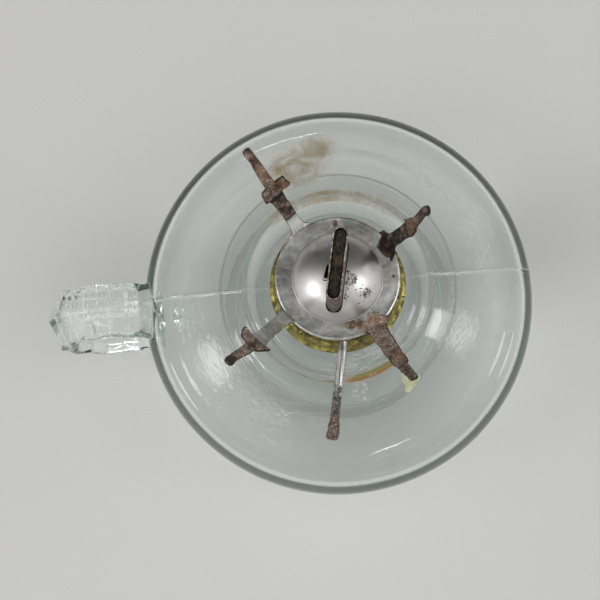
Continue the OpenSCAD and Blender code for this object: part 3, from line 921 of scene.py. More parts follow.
def collar_surface():
    """The collar: its outline turned about the axis, with a thread rolled into its bore."""
    tube_r = BORE_R + 0.5
    inner = np.linspace(COLLAR_TOP - 0.5, TUBE_END + 0.2, BORE_ROWS)
    outline = np.concatenate([
        np.stack([np.full(BORE_ROWS, BORE_R), inner], -1),
        [(BORE_R + 0.15, TUBE_END), (tube_r, TUBE_END + 0.1)],
        line((tube_r, TUBE_END + 0.4), (tube_r, COLLAR_TOP - 0.7), 10),
        arc((tube_r + 0.3, COLLAR_TOP - 0.8), 0.3, 180, 90, 4),
        line((tube_r + 0.5, COLLAR_TOP - 0.5), (SKIRT_R - 0.8, COLLAR_TOP - 0.5), 8),
        arc((SKIRT_R - 0.9, COLLAR_TOP - 0.9), 0.4, 90, 0, 4),
        line((SKIRT_R - 0.5, COLLAR_TOP - 1.4), (SKIRT_R - 0.5, COLLAR_LOW + 0.9), 8),
        cubic((SKIRT_R - 0.5, COLLAR_LOW + 0.9), (SKIRT_R - 0.4, COLLAR_LOW + 0.4),
              (COLLAR_R - 0.8, COLLAR_LOW + 0.2), (COLLAR_R - 0.3, COLLAR_LOW), 6),
        arc((COLLAR_R - 0.2, COLLAR_LOW + 0.2), 0.2, -90, 90, 7),
        cubic((COLLAR_R - 0.25, COLLAR_LOW + 0.42), (COLLAR_R - 0.8, COLLAR_LOW + 0.6),
              (SKIRT_R, COLLAR_LOW + 0.8), (SKIRT_R, COLLAR_LOW + 1.4), 10),
        line((SKIRT_R, COLLAR_LOW + 1.4), (SKIRT_R, COLLAR_TOP - 1.9), 6),
        arc((SKIRT_R - 0.06, COLLAR_TOP - 1.6), 0.24, -60, 60, 7),
        arc((SKIRT_R - 0.8, COLLAR_TOP - 0.8), 0.8, 0, 80, 8),
        line((SKIRT_R - 0.9, COLLAR_TOP - 0.02), (BORE_R + 0.5, COLLAR_TOP), 14),
        arc((BORE_R + 0.35, COLLAR_TOP - 0.35), 0.35, 90, 170, 5),
    ])
    grid = spun(np.concatenate([outline, outline[:1]]) * MM, full_turn(144))
    grid[:BORE_ROWS] = threaded(grid[:BORE_ROWS], False, TUBE_END, COLLAR_TOP)
    grid[-1] = grid[0]
    skirt = from_axis(grid) > (SKIRT_R - 0.2) * MM
    dents = noise(grid, 4 * MM, 11) * 0.12 * MM * skirt
    grid[..., :2] *= (1 - np.abs(dents) / (SKIRT_R * MM))[..., None]
    return mesh_from_grid("threaded_collar", grid, ring=True)


def shell_surface():
    """The screw shell: a cup turned about the axis, its wall rolled into a thread."""
    out, inner = BORE_R - 0.08, BORE_R - 0.53
    low, top = SHELL_LOW, COLLAR_TOP + 0.05
    outline = np.concatenate([
        line((0.3, low), (out - 0.5, low), 8),
        arc((out - 0.4, low + 0.4), 0.4, -90, 0, 6),
        line((out, low + 0.5), (out, top), 60),
        [(out, top), (inner, top)],
        line((inner, top - 0.1), (inner, low + 0.9), 60),
        arc((inner - 0.3, low + 0.75), 0.3, 0, -90, 5),
        line((inner - 0.4, low + 0.45), (0.3, low + 0.45), 8),
    ])
    grid = threaded(spun(outline * MM, full_turn(128)), True, low + 0.9, top - 0.3)
    return mesh_from_grid("threaded_shell", grid)


class LAMP_OT_collar(bpy.types.Operator):
    """Makes the brass collar and the burner's screw shell, with their threads"""

    bl_idname = "lamp.collar"
    bl_label = "Collar and screw shell"

    def execute(self, context):
        dress(collar_surface(), finish("aged_brass"), "lamp", ("brass_collar",), 35)
        shell = shell_surface()
        for passage in (stadium(*TUBE_SIZE), vent_outline(0)):
            cut(shell, prism("passage", passage, SHELL_LOW - 1, SHELL_LOW + 2))
        dress(shell, finish("aged_brass"), "burner", ("screw_shell",), 35)
        return {"FINISHED"}


# ---------------------------------------------------------------- gallery and prongs

# Plate's radius and hole, the sheet's thickness and bend, the prongs' length and width, and where
# the T-heads begin, their length and their step off the stem, in millimetres
PLATE_R = 15.2
HOLE_R = 9.4
SHEET = 0.6
BEND_R = 1.6
PRONG_L = 30
PRONG_W = 3.3
HEAD_AT = 14.6
HEAD_L = 2.9
HEAD_STEP = 0.75

# Marks stored on the gallery: bright is a painted highlight, and dark is painted shadow and shade with the
# rust's dark front
RUST_MARKS = ("rust", "tone", "warm", "bright", "dark")

# The four prongs, in millimetres and degrees. Pairs are for the left and right side, seen from the
# axis.
#   root, skew    direction on the plate, and turn from it
#   shade, shadow side whose edge gets painted shade, 1 left or -1 right, and the strength of the T-head's
#   painted shadow
#   bright        strength of the highlight painted on the strip at the root, and of the paler stem
#   stem, blade   lean below and beyond the T-head
#   curl          drop of the tip
#   girth, knob   the stem's width as a share, and the swelling of the tip
#   blob          extra width of rust at the root
#   arms          reach and fold of the T-head's arms, and how much their far edge is cut back
#   gusset        widening of the stem towards the arms
#   rust, tone    where the rust begins, and how pale it is
#   spots         patches of rust: distance along, place across, reach, tone and orange
PRONGS = (
    dict(root=44, skew=-22, shade=-1, shadow=0.92, bright=(0, 0), stem=69, blade=79, curl=14, girth=1.06,
         knob=0.9, blob=(0.2, 1.5), arms=((2.1, 55, 0.2), (2.8, 8, 0.2)), gusset=(0.5, 0.5), rust=-6,
         tone=0.22, spots=(
             (16, 0, 3.4, 0.3, 0.75), (20, 0.4, 3, 0.5, 0.3), (27, 0, 3, 0.2, 0.1),
             (29.4, 0, 1, 0.6, 0.0))),
    dict(root=134, skew=3, shade=-1, shadow=0.92, bright=(1, 0), stem=54, blade=54, curl=28, girth=1.0,
         knob=0.25, blob=(0, 0), arms=((3.6, 16, 0.1), (4.1, 4, 0)), gusset=(1.9, 0.2), rust=4.6,
         tone=0.28, spots=(
             (9, 0, 6, 0.35, 0.0), (16, -2.6, 3.2, 0.36, 0.5), (16.5, 2.8, 2.4, 0.45, 0.1),
             (21.5, 0, 5, 0.62, 0.3), (22.4, -0.4, 1.9, 0.6, 1.0), (27.5, -0.4, 3.6, 0.08, 0.35),
             (28.9, 1.1, 1.5, 1.0, 0.0))),
    dict(root=222.5, skew=12, shade=1, shadow=0.92, bright=(0, 0.15), stem=42, blade=59, curl=14,
         girth=1.04, knob=0.8, blob=(0, 0), arms=((4.4, 12, 0.5), (4.3, 16, 0.12)), gusset=(1.5, 1.5),
         rust=13.4, tone=0.45, spots=(
             (16, 2.8, 3, 0.6, 0.1), (16, -2.8, 3, 0.6, 0.05), (17.6, 0, 1.3, 0.1, 0.1),
             (21.5, 0, 5, 0.74, 0.2), (29, 0, 2.4, 0.02, 0.15))),
    dict(root=316, skew=-11, shade=1, shadow=0, bright=(0, 0), stem=42, blade=65, curl=0, girth=1.26,
         knob=0.3, blob=(0.2, 0.1), arms=((2.05, 20, 0.1), (2.0, 25, 0.25)), gusset=(0, 0), rust=-6,
         tone=0.55, spots=(
             (3, -0.6, 8, 0.74, 0.0), (14, 1.3, 3.6, 0.4, 1.0), (16.5, -2.4, 3, 0.66, 0.1),
             (20, 0, 3.4, 0.5, 0.25), (26, 0, 4, 0.42, 0.1))),
)


def prong_path(q, stem, blade, curl):
    """Middle line of a prong in its upright plane, at distances q along it from the plate's edge.

    The heading is level on the plate, turns up to the stem's lean within the bend, goes over to
    the blade's lean across the T-head with a slight wave, and drops by the curl near the tip.
    The line is the sum of its steps.
    """
    turn = math.radians(stem)
    start = -BEND_R * math.tan(turn / 2)
    arc_end = start + BEND_R * turn
    slack = arc_end + start
    fine = np.linspace(-4, PRONG_L + 3, 1600)
    heading = turn * held((fine - start) / (arc_end - start))
    heading += math.radians(blade - stem) * held((fine - slack - HEAD_AT + 1) / 3.4)
    heading -= math.radians(curl) * held((fine - slack - PRONG_L + 3) / 1.4)
    heading += 0.04 * np.sin(fine * 0.6) * held((fine - arc_end) / 3)
    step = fine[1] - fine[0]
    x = PLATE_R - 4 + np.concatenate([[0], np.cumsum(np.cos(heading[:-1]))]) * step
    z = PLATE_TOP - SHEET / 2 + np.concatenate([[0], np.cumsum(np.sin(heading[:-1]))]) * step
    q = q + slack * (q > 0)
    return np.interp(q, fine, x), np.interp(q, fine, z), np.interp(q, fine, heading)


def prong_rows():
    """Distances along a prong at which its sections stand, closest where its outline steps."""
    far = HEAD_AT + HEAD_L
    return np.concatenate([
        np.linspace(-4, 0, 16), np.linspace(0.15, HEAD_AT - 0.14, 96),
        HEAD_AT + np.array([-0.05, 0.05, 0.16]), HEAD_AT + np.linspace(0.3, HEAD_L - 0.3, 16),
        far + np.array([-0.16, -0.05, 0.05]), np.linspace(far + 0.2, PRONG_L - 0.1, 84),
        PRONG_L + np.array([0.1, 0.25, 0.38, 0.46, 0.5])])


def prong_widths(p, q, seed):
    """Half the width of a prong to its left and right, at distances q along it.

    It is the stem's, with a fillet at the root and a widening below the T-head, then the T-head's
    arms, then the tapering blade's, rounded off at the tip. Each side has noise of its own.
    """
    head = (q > HEAD_AT) & (q < HEAD_AT + HEAD_L)
    blade = q >= HEAD_AT + HEAD_L
    rusty = held((q - p["rust"]) / 2.5) * np.where(head | blade, 0.2, 0.15)
    end = np.where(q > PRONG_L, np.sqrt(np.clip(1 - ((q - PRONG_L) / 0.55) ** 2, 0.04, 1)), 1)
    beyond = held((q - HEAD_AT) / (PRONG_L - HEAD_AT))
    taper = PRONG_W * (0.44 - 0.14 * beyond) * (1 + 0.25 * p["knob"] * tip_knob(q))
    share = held((q - HEAD_AT) / HEAD_L)
    wide = []
    for side in (0, 1):
        stem = PRONG_W / 2 * p["girth"] + 1.5 * np.exp(-np.maximum(q + 0.3, 0) / 0.9)
        stem = stem + p["blob"][side] * np.exp(-((q / 2.3) ** 4))
        stem = stem + p["gusset"][side] * np.exp(-np.maximum(HEAD_AT - q, 0) / 1.5)
        reach, _fold, slant = p["arms"][side]
        arm = reach * (1 - 0.1 * np.abs(2 * share - 1) ** 5 - slant * share)
        stem = np.minimum(stem, np.where(q > HEAD_AT - 3, reach * 0.93, 9))
        half = np.where(head, arm, np.where(blade, taper, stem))
        along = np.stack([q * 0 + seed * 7.3 + side * 40, q * 0, q], -1)
        wide.append(half * end * (1 + rusty * layered(along, 1.7, seed + side)))
    return wide


def tip_knob(q):
    """Bell curve of the distance along a prong about a place just short of its tip."""
    return bell((q - PRONG_L + 0.9) / 0.8)


def prong_surface(p, seed):
    """One bent prong: its sheet's section carried along its middle line.

    The section is a flat superellipse of the prong's two half widths. The T-head stands off the
    stem by a step and its arms fold up along a line beside the stem. Rust adds layers of noise to
    the thickness.
    """
    q = prong_rows()[:, None]
    wide = prong_widths(p, q[:, 0], seed)
    upper = np.sin(np.linspace(-1, 1, 29) * math.pi / 2)
    across = np.concatenate([upper, upper[-2:0:-1]])
    face = np.where(np.arange(len(across)) < len(upper), 1, -1) * (1 - np.abs(across) ** 10) ** 0.3
    left = across > 0
    v = np.where(left, wide[0][:, None], wide[1][:, None]) * across
    head = (q > HEAD_AT) & (q < HEAD_AT + HEAD_L)
    fold = np.radians(np.where(left, p["arms"][0][1], p["arms"][1][1]))
    beyond = np.maximum(np.abs(v) - PRONG_W / 2 * p["girth"] * 0.95, 0) * head
    share = held((q - HEAD_AT) / HEAD_L)
    lift = head * HEAD_STEP * (1 - share) ** 0.8 + beyond * np.tan(fold)
    body = np.stack([v, v * 0 + seed, q + 0 * v], -1)
    crust = held((q - p["rust"]) / 2.5) * bpy.context.scene.lamp_sizes.rust_height / MM
    swell = 1 + p["knob"] * tip_knob(q) + 2.2 * crust * held(layered(body, 1.6, seed))
    rough = crust * (layered(body, 1.1, seed + 3) + 0.5 * layered(body, 0.4, seed + 5))
    rough = rough * np.clip(np.abs(face), 0.3, 1) * np.where(face > 0, 1, 0.4)
    off = face * SHEET / 2 * swell + lift + np.where(q > 0, rough, 0)
    off = np.where(q < -0.5, np.clip(off, -0.27, 0.2), off)
    x, z, heading = prong_path(q, p["stem"], p["blade"], p["curl"])
    grid = np.stack([x - np.sin(heading) * off - PLATE_R + 2, v, z + np.cos(heading) * off], -1)
    grid = turned(grid, math.radians(p["skew"])) + (PLATE_R - 2, 0, 0)
    grid = turned(grid, math.radians(p["root"]) + BURNER_TURN)
    prong = mesh_from_grid("prong", grid * MM)
    mark_prong(prong, p, seed, grid, q, v, across)
    return prong


def mark_prong(prong, p, seed, grid, q, v, across):
    """Stores where the prong is rusty, pale and orange, where it is painted bright and where it is dark.

    bright is a highlight painted on the strip at the root, and a paler stem; dark is painted shadow
    below the T-head's step, painted shade on one side's edge, and the rust's dark front.

    grid holds its points, q and v their distances along and across it, and across the place round
    its section from -1 to 1. Noise roughens the edge of every patch.
    """
    rim = np.abs(across) > 0.93
    rust = held((q - p["rust"]) / 1.8 + 0.35 * layered(grid, 1.6, seed + 9))
    rust = np.where(rim & (q > 0), np.maximum(rust, 0.5), rust)
    tone = np.full(v.shape, float(p["tone"]))
    warm = np.zeros(v.shape)
    for at, aside, reach, pale, orange in p["spots"]:
        gap = np.hypot(q - at, v - aside) / reach + 0.3 * layered(grid, 1.5, seed + 13)
        near = held(1.5 - 1.5 * gap)
        tone += (pale - tone) * near
        warm += (orange - warm) * near
    tone *= np.where(rim, 0.3, 1)
    # bright: a highlight painted white on the strip at the root, and a paler stem
    strip, stem = p["bright"]
    bright = (strip * held(1 - np.abs(q - 2.6) / 2.6) ** 0.3 + stem * (q > 1)) * ~rim
    # dark: painted shadow below the T-head's step, painted shade on the edge of the side given by shade,
    # and the rust's dark front
    behind = HEAD_STEP * math.tan(math.radians(p["stem"])) + 0.75 + 0.25 * layered(grid, 0.8, seed + 23)
    shadow = p["shadow"] * (q < HEAD_AT) * (q > HEAD_AT - behind)
    border = bell((q - p["rust"] - 1.0) / 0.32 + 1.1 * layered(grid, 0.9, seed + 21)) * (p["rust"] > 0)
    edge = 0.75 * (across * p["shade"] > 0.86) * (q > 0.8) * held(1 + layered(grid, 0.8, seed + 27))
    dark = np.maximum.reduce([shadow * np.ones(v.shape), border, edge])
    for name, values in zip(RUST_MARKS, (rust, tone, warm, bright, dark)):
        mark(prong, name, np.concatenate([values.ravel(), [values[0].mean(), values[-1].mean()]]))


# Rust on the plate: direction from the axis, distance, reach, strength and tone
PLATE_RUST = (
    (-43, 14.6, 3.8, 0.95, 0.95), (-53, 13.8, 2.6, 0.62, 0.85), (-59, 12.4, 2.4, 0.66, 0.5),
    (-65, 12.0, 2.6, 0.66, 0.42), (-72, 11.6, 1.8, 0.6, 0.4), (42, 14.2, 2.6, 1.0, 0.1),
    (34, 14.6, 2.2, 0.9, 0.12), (99, 13.4, 1.5, 0.6, 0.5), (8, 13.6, 0.9, 0.45, 0.1))


def plate_surface():
    """The gallery's plate: its outline turned about the axis, its rim a little uneven."""
    bottom = PLATE_TOP - SHEET
    top = PLATE_TOP - 0.06
    outline = np.concatenate([
        line((HOLE_R, bottom), (PLATE_R - SHEET - 0.2, bottom), 10),
        arc((PLATE_R - SHEET - 0.2, bottom - 0.2), 0.2, 90, 0, 4),
        line((PLATE_R - SHEET, bottom - 0.3), (PLATE_R - SHEET, PLATE_TOP - 1.5), 3),
        arc((PLATE_R - SHEET / 2, PLATE_TOP - 1.3), SHEET / 2, 180, 360, 9),
        line((PLATE_R, PLATE_TOP - 1.2), (PLATE_R, PLATE_TOP - 0.42), 4),
        arc((PLATE_R - 0.4, PLATE_TOP - 0.4), 0.4, 0, 90, 7),
        cubic((PLATE_R - 0.5, PLATE_TOP), (PLATE_R - 0.8, PLATE_TOP - 0.02), (PLATE_R - 0.8, top),
              (PLATE_R - 1.2, top), 5),
        line((PLATE_R - 1.2, top), (HOLE_R, top), 18),
        [(HOLE_R, top), (HOLE_R, bottom)],
    ])
    grid = spun(outline, full_turn(240))
    rim = held((from_axis(grid) - 14.2) / 0.8)
    grid[..., :2] *= (1 - rim * 0.009 * np.abs(layered(grid, 5, 21)))[..., None]
    grid[..., 2] -= rim * 0.1 * np.abs(noise(grid, 6, 22))
    plate = mesh_from_grid("plate", grid * MM, ring=True)
    co = coordinates(plate) / MM
    flat = turned(co, -BURNER_TURN)
    rust, tone = np.zeros(len(co)), np.full(len(co), 0.4)
    for angle, at, reach, strength, pale in PLATE_RUST:
        a = math.radians(angle)
        gap = np.hypot(flat[:, 0] - at * math.cos(a), flat[:, 1] - at * math.sin(a))
        near = strength * held(1.25 - gap / reach)
        tone = np.where(near > rust, pale, tone)
        rust = np.maximum(rust, near)
    rust = held(rust + 0.3 * layered(co, 1.4, 5) * (rust > 0.05))
    side = held((np.abs(co[:, 2] - PLATE_TOP + 0.8) < 0.32) * 0.45 + 0.4 * layered(co, 2, 8))
    rust = np.maximum(rust, side * (co[:, 2] < PLATE_TOP - 0.45))
    none = np.zeros(len(co))
    for name, values in zip(RUST_MARKS, (rust, tone, 0.55 * tone, none, none)):
        mark(plate, name, values)
    return plate


class LAMP_OT_gallery(bpy.types.Operator):
    """Makes the gallery's plate with its four splayed, rusty prongs"""

    bl_idname = "lamp.gallery"
    bl_label = "Prong gallery"

    def execute(self, context):
        prongs = [prong_surface(p, 31 + k) for k, p in enumerate(PRONGS)]
        gallery = joined("gallery_with_prongs", [plate_surface(), *prongs])
        dress(gallery, finish("rusty_tinplate"), "burner", ("prong_gallery",), 42)
        return {"FINISHED"}


# ---------------------------------------------------------------- dome, tube, vent and wick

# Dome's foot: radius and height above the plate, then its rise, sheet, sphere and the sphere's
# middle. Tube and vent: width, thickness and wall. Gap of their slots, the places of the windows
# along the tube, their width, depth and height, and the spindle's height. All in millimetres
DOME_R = 10.8
DOME_STEP = 0.6
DOME_RISE = 5
DOME_SHEET = 0.45
DOME_SPHERE = (DOME_R**2 + DOME_RISE**2) / (2 * DOME_RISE)
DOME_MIDDLE = PLATE_TOP + DOME_STEP + DOME_RISE - DOME_SPHERE
TUBE_SIZE = (17.5, 3.6)
TUBE_WALL = 0.34
VENT_SIZE = (3.8, 1.5)
VENT_OFF = (TUBE_SIZE[1] + VENT_SIZE[1]) / 2
VENT_WALL = 0.3
SLOT_GAP = 0.12
WINDOWS = (-4.8, 0, 4.8)
WINDOW_SIZE = (1.5, 1.0, 3.8)
SPINDLE_Z = 56.3


def dome_surface():
    """The dome: part of a sphere with a rolled bead at its foot, turned about the axis."""
    foot = math.degrees(math.asin((DOME_R - 0.05) / DOME_SPHERE))
    inner = math.degrees(math.asin((DOME_R - 0.5) / (DOME_SPHERE - DOME_SHEET)))
    outline = np.concatenate([
        arc((0, DOME_MIDDLE), DOME_SPHERE - DOME_SHEET, 89, 90 - inner, 30),
        line((DOME_R - 0.5, PLATE_TOP + 0.4), (DOME_R - 0.45, PLATE_TOP), 3),
        line((DOME_R - 0.4, PLATE_TOP), (DOME_R + 0.1, PLATE_TOP), 3),
        arc((DOME_R + 0.1, PLATE_TOP + 0.2), 0.2, -80, 120, 10),
        line((DOME_R - 0.02, PLATE_TOP + 0.38), (DOME_R - 0.04, PLATE_TOP + DOME_STEP), 3),
        arc((0, DOME_MIDDLE), DOME_SPHERE, 90 - foot, 89, 44),
    ])
    grid = spun(outline, full_turn(176))
    grid[..., 2] += 0.03 * noise(grid, 5, 41) * (from_axis(grid) < DOME_R - 0.4)
    return mesh_from_grid("polished_dome", grid * MM)


def vent_outline(inset):
    """Outline of the vent pocket beside the tube, its outer side slanted so that it narrows."""
    w, t = VENT_SIZE
    loop = rounded_box(w - 2 * inset, t - 2 * inset, 0.32 - inset / 2)
    slant = 0.5 * held(loop[:, 1] / w + 0.5) ** 1.5 * held(0.5 - loop[:, 0] / t)
    return loop + np.stack([slant * (t - 2 * inset), 0 * slant], -1) - (VENT_OFF, 0)


def hollow_post(name, loop, wall, low, high, wobble, seed):
    """A tube with this outline function of inset, its wall rounded over at the rim.

    Rows run up the outside, over the rim on a half circle of the wall's thickness, and down
    the inside, and are then moved sideways by smooth noise.
    """
    over = np.linspace(0, math.pi, 9)[1:-1]
    rise = np.concatenate([np.linspace(low, high - wall, 40), high - wall / 2 + wall / 2 * np.sin(over),
                           np.linspace(high - wall, low, 40), [low]])
    inset = np.concatenate([np.zeros(40), wall / 2 * (1 - np.cos(over)), np.full(40, wall), [0]])
    grid = stacked([loop(o) for o in inset], rise)
    push = wobble * noise(grid * (1, 1, 0.5), 6, seed)
    grid[:-1, :, 0] += push[:-1]
    grid[-1] = grid[0]
    post = mesh_from_grid(name, turned(grid) * MM, ring=True)
    mark(post, "worn", held((coordinates(post)[:, 2] / MM - high + 0.7 * wall) / (0.5 * wall)))
    return post


# Wick, in millimetres: width and thickness, pitch of the weave across and up, spacing of its rows
WICK_SIZE = (16.4, 2.6)
WEAVE = (0.95, 0.8)
WICK_ROW = 0.28


def wick_surface():
    """The wick: a flat-sided oval carried upwards, with its weave and a burnt, lumpy top.

    The faces move out by the product of two sines, one across and one up, for the weave. The
    top is the outline shrunk to its middle, raised and lowered by noise.
    """
    heights = np.concatenate([np.arange(WICK_LOW, WICK_TOP - 1.2, WICK_ROW),
                              np.linspace(WICK_TOP - 1.1, WICK_TOP - 0.75, 4)])
    shares = np.array([0.97, 0.9, 0.78, 0.6, 0.4, 0.2, 0.06])
    w, t = WICK_SIZE
    swell = 0.7 + 0.3 * held((heights - WICK_TOP + 9) / 5)
    rows = [stadium(w, t * k, 40) for k in swell]
    rows += [stadium((w - t) * (0.35 + 0.65 * k) + t * k, t * k, 40) for k in shares]
    z = np.concatenate([heights, WICK_TOP - 0.6 + 0.12 * np.sin(np.linspace(0.3, 1.5, len(shares)))])
    grid = stacked(rows, z)
    weave = np.sin(grid[..., 1] * 2 * math.pi / WEAVE[0]) * np.sin(grid[..., 2] * 2 * math.pi / WEAVE[1])
    body = (np.arange(len(z)) < len(heights))[:, None]
    grid[..., 0] += np.sign(grid[..., 0]) * 0.05 * weave * body
    char = held((grid[..., 2] - (WICK_TOP - 5)) / 3)
    cap = ~body * np.ones(grid.shape[:2], bool)
    lumps = layered(grid * (1.3, 1, 0), 1.3, 51)
    grid[..., 2] += np.where(cap, np.minimum(lumps * 0.8, 0.4), 0)
    wick = mesh_from_grid("wick_strip", turned(grid) * MM)
    mark(wick, "char", np.concatenate([char.ravel(), [0, 1]]))
    return wick


def crumb_cloud(count):
    """Flakes of soot on the dome beside the tube.

    Each is a small ball, stretched and roughened by noise, at a random place in a patch beside
    the tube or one lower on the dome, and sits a third of its height in the dome.
    """
    rng = np.random.default_rng(7)
    bm = bmesh.new()
    bmesh.ops.create_icosphere(bm, subdivisions=2, radius=1)
    ball = np.array([v.co for v in bm.verts])
    faces = np.array([[v.index for v in f.verts] for f in bm.faces])
    bm.free()
    main = rng.random(count) < 0.66
    x = np.where(main, 2.25 + np.abs(rng.normal(0, 0.45, count)), rng.normal(6.4, 0.9, count))
    y = np.where(main, rng.choice((-4.6, -2.2, 0.9), count) + rng.normal(0, 0.8, count),
                 rng.normal(-3.9, 1.4, count))
    size = rng.uniform(0.05, 0.15, (count, 1)) * rng.uniform(0.5, 1.8, (count, 3))
    size[:, 2] = np.minimum(size[:, 2], 0.12)
    turn = rng.uniform(0, 6.28, count)
    wobbly = ball * (1 + 0.45 * noise(ball + rng.uniform(0, 60, (count, 1, 3)), 0.8, 61))[..., None]
    shaped = wobbly * size[:, None]
    c, s = np.cos(turn)[:, None], np.sin(turn)[:, None]
    px = shaped[..., 0] * c - shaped[..., 1] * s + x[:, None]
    py = shaped[..., 0] * s + shaped[..., 1] * c + y[:, None]
    surface = DOME_MIDDLE + np.sqrt(DOME_SPHERE**2 - x**2 - y**2)
    pz = shaped[..., 2] + (surface + size[:, 2] / 3)[:, None]
    points = turned(np.stack([px, py, pz], -1)).reshape(-1, 3)
    index = (faces[None] + len(ball) * np.arange(count)[:, None, None]).reshape(-1, 3)
    return raw_piece("soot_crumbs", points * MM, index.tolist())


def vent_soot():
    """Soot that has settled in the vent pocket, a plug with a lumpy top."""
    shares = np.array([1, 1, 0.9, 0.7, 0.5, 0.3, 0.1])
    inner = vent_outline(VENT_WALL - 0.02)
    loops = [(inner + (VENT_OFF, 0)) * k - (VENT_OFF, 0) for k in shares]
    top = VENT_TOP - 2.2
    grid = stacked(loops, np.array([top - 6, top - 0.3, top, top, top, top, top]))
    grid[2:, :, 2] += 0.5 * layered(grid[2:], 0.7, 91)
    return mesh_from_grid("vent_soot", turned(grid) * MM)


class LAMP_OT_dome(bpy.types.Operator):
    """Makes the polished dome with its slot, and the soot beside the wick tube"""

    bl_idname = "lamp.dome"
    bl_label = "Dome"

    def execute(self, context):
        dome = dome_surface()
        w, t = TUBE_SIZE
        for slot in (stadium(w + 7 * SLOT_GAP, t + 3.6 * SLOT_GAP), vent_outline(-SLOT_GAP)):
            cut(dome, prism("slot", slot, PLATE_TOP + 2, PLATE_TOP + 9))
        dress(dome, finish("worn_nickel"), "burner", ("dome",), 38)
        crumbs = crumb_cloud(context.scene.lamp_sizes.crumbs)
        dress(crumbs, finish("burnt_crust"), "burner", (), 60)
        return {"FINISHED"}


class LAMP_OT_tube(bpy.types.Operator):
    """Makes the wick tube, its vent pocket and the wick"""

    bl_idname = "lamp.tube"
    bl_label = "Wick tube and wick"

    def execute(self, context):
        w, t = TUBE_SIZE
        tube = hollow_post("flat_wick_tube", lambda o: stadium(w - 2 * o, t - 2 * o), TUBE_WALL,
                           TUBE_LOW, TUBE_TOP, 0.07, 43)
        width, depth, height = WINDOW_SIZE
        for y in WINDOWS:
            hole = rounded_box(width, depth, 0.1) + (t / 2, y)
            cut(tube, prism("window", hole, SPINDLE_Z - height / 2, SPINDLE_Z + height / 2))
        dress(tube, finish("burnt_tube"), "burner", ("wick_tube",), 40)
        vent = hollow_post("vent_tube", vent_outline, VENT_WALL, VENT_LOW, VENT_TOP, 0.02, 44)
        dress(vent, finish("worn_nickel"), "burner", ("vent_pocket",), 40)
        dress(vent_soot(), finish("burnt_crust"), "burner", (), 60)
        dress(wick_surface(), finish("cotton_wick"), "wick", ("wick",), 70)
        return {"FINISHED"}


# ---------------------------------------------------------------- raiser and the other solids

# The spindle's place beside the axis, its inner end, how far its outer end lies from the axis, its
# radius, and the length and radius of its swollen outer end, in millimetres
SPINDLE_X = 3.2
SPINDLE_IN = 8.8
SPINDLE_REACH = 39
SPINDLE_OUT = math.sqrt(SPINDLE_REACH**2 - SPINDLE_X**2)
SPINDLE_R = 0.95
SEAT_L = 6
SEAT_R = 1.25


def spindle_surface():
    """The spindle: a circle carried along its axis, with a swollen, rust-caked outer end."""
    s = np.linspace(0.2 - SPINDLE_IN, SPINDLE_OUT - 0.2, 190)
    s = np.concatenate([[-SPINDLE_IN], s, [SPINDLE_OUT]])
    radius = SPINDLE_R + 0.14 * held((s - 15.5) / 1.5)
    radius += (SEAT_R + 0.1 - SPINDLE_R) * held((s - SPINDLE_OUT + SEAT_L + 1) / 5.5)
    radius[[0, -1]] *= 0.78
    a = full_turn(32)
    rust = held((s - 21) / (SPINDLE_OUT - 25))[:, None]
    grid = np.stack([radius[:, None] * np.cos(a), -s[:, None] + 0 * a, radius[:, None] * np.sin(a)], -1)
    lumps = layered(grid, 1.4, 71) * (0.07 + 0.5 * held((s - SPINDLE_OUT + SEAT_L) / 3))[:, None]
    grid[..., [0, 2]] *= (1 + rust * lumps / radius[:, None])[..., None]
    grid += (SPINDLE_X, 0, SPINDLE_Z)
    spindle = mesh_from_grid("raiser_spindle", turned(grid) * MM)
    mark(spindle, "rust", np.concatenate([np.repeat(rust, len(a)), [0, 1]]))
    return spindle


# Finishes of the solids that stay as they are
SMALL_PARTS = {
    "aged_brass": ("air_basket", "base_plate", "ratchet_box", "spindle_sleeve", "star_wheel_1",
                   "star_wheel_2", "star_wheel_3", "retaining_ring"),
    "lamp_plaster": ("collar_plaster",),
}


class LAMP_OT_raiser(bpy.types.Operator):
    """Makes the raiser's spindle and gives the remaining metal solids their finish"""

    bl_idname = "lamp.raiser"
    bl_label = "Raiser and small parts"

    def execute(self, context):
        dress(spindle_surface(), finish("rusty_steel"), "raiser", ("spindle",), 50)
        for name, nodes in SMALL_PARTS.items():
            for node in nodes:
                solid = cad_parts[node]
                solid.data.materials.clear()
                solid.data.materials.append(finish(name))
        return {"FINISHED"}


# ---------------------------------------------------------------- residue on the glass

# The flake's middle, and its corners about it, in millimetres
FLAKE_AT = (16.5, -24.5)
FLAKE_EDGE = np.array([(-2.1, 1.9), (-0.4, 1.3), (1.3, 1.9), (2.4, 1.5), (1.9, 0.2), (1.0, -0.9),
                       (0.2, -1.6), (-0.7, -2.5), (-1.5, -2.2), (-1.6, -0.9), (-2.2, 0.1)])


